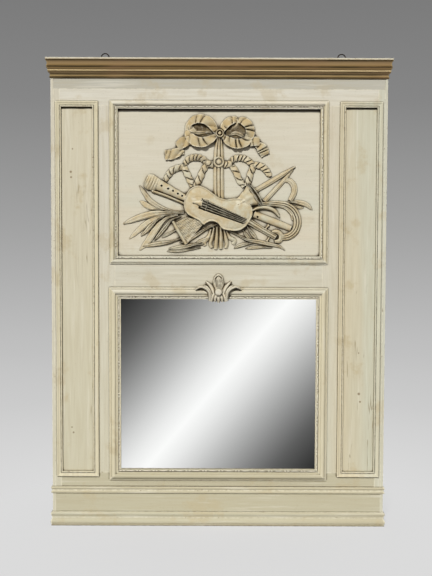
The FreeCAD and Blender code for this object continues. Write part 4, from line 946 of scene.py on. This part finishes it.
def carve_violin(paint):
    """The violin: an arched body with a raised edge, a bridge and strings in relief."""
    violin = Carving("violin_carving")
    marks = [smooth(F_HOLE, 24), smooth(F_HOLE_UPPER, 20)]

    near, far = [[Vector(end) for end in ends] for ends in (STRINGS_FROM, STRINGS_TO)]
    ahead = ((far[0] + far[1]) - (near[0] + near[1])).normalized()
    side = Vector((-ahead.y, ahead.x))
    middle, reach = (near[0] + near[1]) / 2, ((far[0] + far[1]) - (near[0] + near[1])).length / 2

    def trough(spot):
        """How deep a point lies in the hollow under the strings, 0 to 1."""
        run = (spot - middle).dot(ahead) / reach
        off = (spot - middle).dot(side) - 0.7
        if not -0.03 < run < 0.98:
            return 0.0
        return min(max((5.3 - 2.2 * run - abs(off)) / 0.7, 0), 1)

    def arched(across, down, inset):
        rim = 19 + 1.6 * math.exp(-((inset - 0.7) / 0.55) ** 2)
        channel = -1.6 * math.exp(-((inset - 2.1) / 0.8) ** 2)
        arch = 5.0 * (1 - math.exp(-(inset / 7.0) ** 2))
        edge = -4.0 * max(0.0, 1 - inset / 0.45) ** 2
        spot = Vector((across, down))
        cut = -9.0 * trough(spot)
        for mark, depth in zip(marks, (4.0, 1.4)):
            near_mark = min((spot - point).length for point in mark)
            cut -= depth * math.exp(-(near_mark / 0.7) ** 2)
        return rim + channel + arch + edge + cut

    violin.plate(list(VIOLIN_RIM), arched, 0.5)
    for index in range(STRING_COUNT):
        share = index / (STRING_COUNT - 1)
        violin.strip((near[0].lerp(near[1], share), far[0].lerp(far[1], share)),
                     along((0.68, 0.5)), along((28, 27.5, 26)), rounded, 30, 9, 0.9)
    # the tailpiece widens to the bridge, and a comb lies over the strings beyond it
    violin.strip(((192.6, 201.4), (197.5, 202), (202.4, 202.8)), along((0.6, 2.6, 4.4)),
                 along((25, 28, 29)), rounded, 20, 11, 0.9)
    violin.strip((near[0] + Vector((5.2, 0.4)), near[1] + Vector((4.8, 3.2))), 0.6, 28.8, rounded,
                 16, 7, 0.9)
    violin.finish(paint, "trophy_violin", 0.4)

    neck = Carving("neck_carving")
    neck.strip(((247, 219), (262, 228.2), (276.5, 236.2)), along((3.4, 2.9, 2.6, 2.6)),
               along((20, 15, 14)), grooved(2, 0.35), 34, 13, 0.75)
    neck.strip(((272.5, 231), (277.5, 230.6), (281.6, 234), (280.6, 239.4), (275.6, 240.4)),
               along((1.5, 2.2, 2.4, 2.3, 1.5)), along((13, 16, 16, 14, 11)), grooved(2, 0.3), 30,
               11, 0.75)
    for peg in (((266, 228), (269.5, 223.8)), ((270, 236.4), (267.4, 240.6))):
        neck.strip(peg, along((0.9, 0.8, 1.5)), 10, rounded, 10, 7, 0.8)
    neck.finish(paint, "trophy_violin_neck", 0.4)


def carve_winds(paint):
    """The flute with the crook over it, the trumpet's bell, and the curved horn."""
    flute = Carving("flute_carving")
    first, last = Vector((254.5, 213.2)), Vector((291.5, 227.4))
    hole = Vector((258.0, 216.0))
    ahead = (last - first).normalized()
    side = Vector((-ahead.y, ahead.x))
    half = along((3.4, 3.6, 3.4, 2.9))

    def drilled(u, t):
        spot = first.lerp(last, t) + side * half(t) * u
        near = (spot - hole).length
        return rounded(u, t) * (1 - 0.5 * max(0.0, 1 - (near / HOLE_RADIUS) ** 4))

    flute.strip((first, last), half, along((15, 15, 14, 12)), drilled, 70, 21, 0.75)
    flute.finish(paint, "trophy_flute", 0.3)

    trumpet = Carving("trumpet_carving")

    def fluted(u, t):
        return rounded(u, t) * (0.93 + 0.07 * math.cos(u * 9)) - 0.06 * (t > 0.9)

    trumpet.strip(((234.5, 206.5), (246, 199), (254.4, 193.6)), along((4.4, 6.2, 8.4, 11.6)),
                  along((20, 22, 23, 24)), fluted, 40, 21, 0.9)
    trumpet.strip(((247.8, 182.6), (254.6, 191.6), (262.8, 204.4)), along((0.9, 2.1, 2.3, 1.2)),
                  along((20, 24, 24, 20)), lambda u, t: 1 - 0.55 * (1 - abs(u)) ** 0.7 * (abs(u) < 0.7),
                  30, 13, 0.9)
    trumpet.finish(paint, "trophy_trumpet", 0.4)

    horn = Carving("horn_carving")
    horn.strip(((259, 203.4), (268, 203.2), (278, 202.8), (288, 204.8), (295, 210.6), (298.3, 219.4),
                (296.6, 228.6), (290, 235), (281, 236.6)),
               along((2.4, 2.8, 3.0, 3.4, 3.8, 4.0, 3.9, 3.4, 3.0)),
               along((13, 14, 15, 16, 16, 16, 15, 14, 13)), grooved(3, 0.34), 84, 19, 0.75)
    horn.strip(((277, 204.8), (286, 207), (292, 213), (293.2, 219)), along((0.8, 1.3, 1.4, 0.9)),
               along((9, 10, 9, 7)), rounded, 28, 9, 0.85)
    horn.strip(((252.6, 209.4), (259.5, 206.6), (267.5, 206.6), (275, 209.6), (280, 215.6)),
               along((1.2, 1.8, 2.0, 1.9, 1.2)), along((17, 19, 19, 17, 12)), rounded, 40, 9, 0.75)
    horn.finish(paint, "trophy_curved_horn", 0.4)


def carve_triangle(paint):
    """The triangle's two bars and the arch beside them."""
    bars = Carving("triangle_carving")
    bars.strip(((295.6, 165.6), (275, 178.4), (254.6, 190.4)), along((0.9, 2.2, 2.4, 2.3)),
               along((10, 11, 11)), grooved(2, 0.25), 30, 13, 0.75)
    bars.strip(((293.4, 168.4), (281, 183), (265, 200)), along((0.9, 1.9, 2.2, 2.2)),
               along((8.5, 10, 10)), grooved(2, 0.25), 30, 13, 0.75)
    bars.strip(((284.5, 179.6), (290, 179.6), (294.4, 184.8), (294.6, 191.6), (290.6, 199.4)),
               along((1.6, 2.6, 2.8, 2.7, 2.2)), along((8, 10.5, 11, 10, 8)), grooved(2, 0.3), 40,
               13, 0.75)
    bars.finish(paint, "trophy_triangle", 0.4)


PAGE = ((175.5, 222.4), (186, 216.4), (195, 218), (204, 222.2), (199.4, 228.6), (193.6, 235),
        (187.4, 243.4))
STAVE_TURN = math.radians(-32)
STAVE_PERIOD = 5.6


def carve_book(paint):
    """An open music book: a curled page with plain stave lines, and its rolled edge."""
    book = Carving("book_carving")

    def page(across, down, inset):
        over = across * math.sin(STAVE_TURN) - down * math.cos(STAVE_TURN)
        run = across * math.cos(STAVE_TURN) - down * math.sin(STAVE_TURN)
        group = over / STAVE_PERIOD
        lines = 2.2 * max(0.0, math.cos(over * 2 * math.pi / 1.4)) ** 2 * ((group % 1) < 0.75)
        dots = 1.6 * max(0.0, math.sin(run * 1.6) * math.sin(over * 3.1)) ** 2
        return 13.5 + 2.5 * math.sin(across * 0.16) - lines - dots - 2.0 * max(0, 1 - inset / 0.5)

    book.plate(list(PAGE), page, 0.4, rounded_outline=False)
    book.strip(((173, 220.6), (179, 231), (186.4, 243.6)), along((1.5, 1.9, 1.8, 1.6)),
               along((17, 19, 18)), rounded, 30, 11, 0.8)
    book.finish(paint, "trophy_music_book", 0.3)


# each leaf: the points of its spine from stalk to tip, its half width, and its height
LEAVES = (
    (((184, 211), (172, 210.4), (160, 206.4), (150.6, 200.4), (144, 192), (139.2, 184.8)), 2.4, 12),
    (((163, 209), (154, 207.6), (146.6, 204.8), (139.8, 200.2)), 2.7, 8),
    (((184, 212.4), (168, 211.8), (154, 213), (142, 216), (132, 219.6), (123.2, 223.4)), 3.1, 13),
    (((176, 213.4), (163, 214.6), (152.6, 219), (143.6, 225.2), (136, 232), (129.2, 238.4)), 2.7, 8),
    (((164, 215.6), (157.6, 219), (152, 224), (147, 229.6), (141, 235.4)), 2.0, 12),
    (((178, 214.2), (168, 216.8), (160.8, 222.8), (153.8, 231.6), (147.4, 241), (139.6, 249.8)),
     3.2, 9),
    (((181, 215.4), (172, 219), (166, 226), (160, 233.4), (154.4, 239.6)), 1.8, 14),
    (((181, 238), (168, 241.8), (155, 243.8), (142.8, 245.8)), 2.1, 13),
    (((179, 228), (170, 232.6), (162, 237)), 1.3, 9),
    (((205, 243.4), (194, 244), (182, 246.6), (168.6, 248.4)), 2.1, 13),
    (((201, 247), (190, 248.8), (178, 250.4), (167, 250.8)), 1.4, 9),
    (((217, 223.6), (206, 228.4), (196, 234.4), (187, 240), (180, 242)), 2.0, 14),
    (((213, 234.6), (205, 239), (196, 242.4)), 1.8, 11),
    (((286, 201.4), (297, 200.9), (307, 203.4), (313, 208.6)), 2.3, 11),
    (((292, 203.6), (299, 206), (304.4, 206.8)), 1.4, 8),
    (((226, 228.6), (237, 233.6), (247, 238.6), (259, 241), (271, 243.4), (280, 245.6),
      (286, 249.4)), 1.9, 12),
    (((273, 247), (262, 246.2), (254, 246.8), (246, 248)), 1.5, 9),
    (((256, 241.4), (247, 243), (240, 245), (234.6, 247.6)), 1.7, 11),
    (((247.4, 225.4), (252, 231.6), (257.6, 238.8)), 1.9, 13),
    (((243.6, 229), (246.6, 234), (250.4, 238.6)), 1.7, 10))
LEAF_SHARES = (0.26, 0.34, 0.55, 0.85, 1.0, 0.98, 0.78, 0.24)


def carve_leaves(paint):
    """Laurel leaves round the foot of the trophy, each with a midrib and rolled edges."""
    leaves = Carving("laurel_carving")
    for spine, half, height in LEAVES:
        leaves.strip(spine, along([half * share for share in LEAF_SHARES]),
                     along((height * 0.8, height, height, height * 0.85, height * 0.5)), veined, 34,
                     15, 0.8)
    leaves.finish(paint, "trophy_laurel_leaves", 0.4)


# ---------------------------------------------------------------- the ornament on the mirror
ORNAMENT_MIDDLE, ORNAMENT_TOP = 218.3, 273.0
ORNAMENT_LOW, ORNAMENT_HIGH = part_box("mirror_ornament")
RAIL_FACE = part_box("mid_rail")[0].y
ORNAMENT_SCALE = 3.731 * MM


def on_rail(across, down, height):
    """A place over the mid rail, height in millimetres in front of its face."""
    return Vector(((across - ORNAMENT_MIDDLE) * ORNAMENT_SCALE, RAIL_FACE - height * MM,
                   ORNAMENT_HIGH.z + (ORNAMENT_TOP - down) * ORNAMENT_SCALE))


def mirrored(spine):
    """The same spine on the other side of the ornament."""
    return [(2 * ORNAMENT_MIDDLE - across, down) for across, down in spine]


def carve_ornament(paint, hollow_shade):
    """An acanthus spray over the top of the mirror frame, with a ball at its heart."""
    spray = Carving("ornament_carving", on_rail)
    # a dark sheet of painted shade under each wing, where the wing's shadow falls
    shade_under = Carving("ornament_undercut_shade", on_rail)
    # wings that stand clear of the moulding and curl down at their tips
    wing = ((209.8, 300), (209.8, 294), (207.6, 289.6), (203.6, 286.8), (199.4, 286.6),
            (195.4, 289.2))
    gap = ((208.6, 297), (208, 292.6), (205.2, 289.8), (201, 288.8), (196.4, 290.2))
    side = ((213.8, 294), (211.8, 288.6), (209, 284.4), (205.6, 280.6))
    second = ((211.6, 295), (209.6, 290.4), (207, 287), (203.6, 284.6))
    base = ((214, 292.6), (211.8, 296.6), (210.4, 300.6))
    for flip in (list, mirrored):
        spray.strip(flip(wing), along((1.5, 1.7, 1.6, 1.5, 1.2, 0.5)),
                    along((30, 35, 38, 38, 34, 24)), rounded, 44, 13, 0.4, 20)
        # the dark sheet under the wing: painted shade
        shade_under.strip(flip(gap), along((0.7, 1.9, 2.3, 1.9, 0.4)), along((19, 19.5, 19.5, 19, 18.5)),
                    rounded, 30, 9, 0.9, 12)
        spray.strip(flip(side), along((1.8, 2.5, 2.2, 1.5, 0.4)), along((26, 25, 21, 16, 10)),
                    rounded, 32, 13, 0.8)
        spray.strip(flip(second), along((1.4, 1.8, 1.5, 0.5)), along((26, 26, 23, 16)), rounded,
                    26, 11, 0.8)
        spray.strip(flip(base), along((2.0, 2.9, 2.5)), along((25, 29, 26)), rounded, 24, 13, 0.8, 2)
    shade_under.finish(hollow_shade, "mirror_ornament", 0.2)
    # the standing leaf: a broad pale blade, ribbed, with a turned-over top
    spray.strip(((ORNAMENT_MIDDLE, 292), (ORNAMENT_MIDDLE, 284), (ORNAMENT_MIDDLE, 277.6),
                 (ORNAMENT_MIDDLE, ORNAMENT_TOP + 0.6)), along((3.0, 5.0, 5.2, 1.4)),
                along((26, 17, 14, 12)), rounded, 40, 21, 0.9)
    for lean in (-3.2, -1.6, 0.0, 1.6, 3.2):
        top = ORNAMENT_TOP + 4 + abs(lean) * 0.9
        spray.strip(((ORNAMENT_MIDDLE + lean * 0.4, 290), (ORNAMENT_MIDDLE + lean * 0.9, 284),
                     (ORNAMENT_MIDDLE + lean * 1.1, 279.4), (ORNAMENT_MIDDLE + lean * 0.9, top)),
                    along((0.5, 0.75, 0.8, 0.4)), along((28, 21, 17.6, 16)), rounded, 26, 9, 0.9)
    spray.strip(((214.2, 281.6), (214.6, 277), (ORNAMENT_MIDDLE, 274.4), (222, 277),
                 (222.4, 281.6)), along((0.4, 0.8, 1.0, 0.8, 0.4)), along((15, 18, 20, 18, 15)),
                rounded, 30, 9, 0.85)
    for lean in (-1, 0, 1):
        spray.strip(((ORNAMENT_MIDDLE + lean * 0.8, 293), (ORNAMENT_MIDDLE + lean * 3.2, 297),
                     (ORNAMENT_MIDDLE + lean * 3.6, 302 - abs(lean) * 0.8)),
                    along((2.0, 2.8, 2.4, 1.2)), along((27, 29, 24)), rounded, 26, 13, 0.8, 8)
    spray.disc((ORNAMENT_MIDDLE, 291.3), 3.4, [(1.0, 33), (0.98, 36), (0.9, 38.2), (0.75, 39.6),
                                               (0.5, 40.3), (0.25, 40.5), (0.08, 40.5)], 18)
    spray.finish(paint, "mirror_ornament", 0.35)


# ---------------------------------------------------------------- beading
PEARL_PITCH = 0.0112
SPINDLE_LENGTH = 0.030
BEAD_PERIOD = 0.061


def bead_run(vertices, faces, first, last, radius, steps=12):
    """Pearls and spindles, two and one in turn, with thin wafers between, along a line."""
    length = (last - first).length
    count = max(1, round(length / BEAD_PERIOD))
    period = length / count
    forward = (last - first).normalized()
    front = Vector((0, -1, 0))
    side = forward.cross(front)
    profile = []
    for number in range(count):
        start = number * period
        pearls = (start + PEARL_PITCH / 2, start + PEARL_PITCH * 1.5)
        for middle in pearls:
            for angle in range(0, 181, 30):
                turn = math.radians(angle)
                profile.append((middle - math.cos(turn) * PEARL_PITCH * 0.47,
                                max(math.sin(turn), 0.22) * radius))
        left, right = start + PEARL_PITCH * 2 + 0.001, start + period - 0.001
        for share in (0.0, 0.04, 0.14, 0.3, 0.5, 0.7, 0.86, 0.96, 1.0):
            swell = math.sin(math.pi * min(max(share, 0.04), 0.96)) ** 0.5
            profile.append((left + (right - left) * share, max(swell, 0.25) * radius * 0.92))
    base = len(vertices)
    for reach, size in profile:
        for step in range(steps):
            turn = 2 * math.pi * step / steps
            vertices.append(first + forward * reach
                            + (front * math.cos(turn) + side * math.sin(turn)) * size)
    for ring in range(len(profile) - 1):
        for step in range(steps):
            after = (step + 1) % steps
            low, high = base + ring * steps, base + (ring + 1) * steps
            faces.append((low + step, low + after, high + after, high + step))
    faces.append(tuple(range(base, base + steps)))
    last_ring = base + (len(profile) - 1) * steps
    faces.append(tuple(range(last_ring, last_ring + steps)))


def carve_beads(paint, node, name):
    """Turned beading round an opening, in the place of the CAD strips."""
    low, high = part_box(node)
    radius = (high.y - low.y) / 2
    depth = (low.y + high.y) / 2 + radius * 0.3
    radius *= 1.15
    beads = Carving(name)
    left, right, bottom, top = low.x + radius, high.x - radius, low.z + radius, high.z - radius
    corners = [Vector((left, depth, bottom)), Vector((right, depth, bottom)),
               Vector((right, depth, top)), Vector((left, depth, top))]
    for first, last in zip(corners, corners[1:] + corners[:1]):
        bead_run(beads.vertices, beads.faces, first, last, radius)
    beads.finish(paint, node, 0.25)


def carve_all(paint):
    """Every carved piece, each in its own tone of the old paint, and dark sheets of painted shade in the
    deepest openings.
    """
    # the bow's paint is browner and darker than the rest of the carving: brown glaze and painted shade of its
    # deep folds
    brown_and_shaded = aged_paint("paint_bow_shaded", EVERY_WAY, (194, 181, 149), (188, 176, 143), 0.4, 1.0,
                       glaze_and_shade=1.0)
    # a dark paint for the sheets that stand in for shade in deep openings
    hollow_shade = aged_paint("paint_hollow_shade", EVERY_WAY, (64, 48, 24), (58, 42, 20), 0.2, 1.0, 0.1)
    pale = aged_paint("paint_ornament", EVERY_WAY, (216, 210, 192), (214, 208, 190), 0.3, 0.8,
                      glaze_and_shade=0.3, reach=0.007)
    beading = aged_paint("paint_beading", EVERY_WAY, (224, 218, 201), (222, 215, 196), 0.25, 0.45,
                         0.6, reach=0.006)
    carve_bow(brown_and_shaded, hollow_shade)
    carve_staff(paint)
    carve_garlands(paint)
    carve_recorder(paint)
    carve_violin(paint)
    carve_winds(paint)
    carve_triangle(paint)
    carve_book(paint)
    carve_leaves(paint)
    carve_ornament(pale, hollow_shade)
    carve_beads(beading, "trophy_bead_strips", "trophy_beads")
    carve_beads(beading, "mirror_bead_strips", "mirror_beads")


place_camera()
lit_world()
pale_floor()
light_stage()
carve_all(dress_frame())
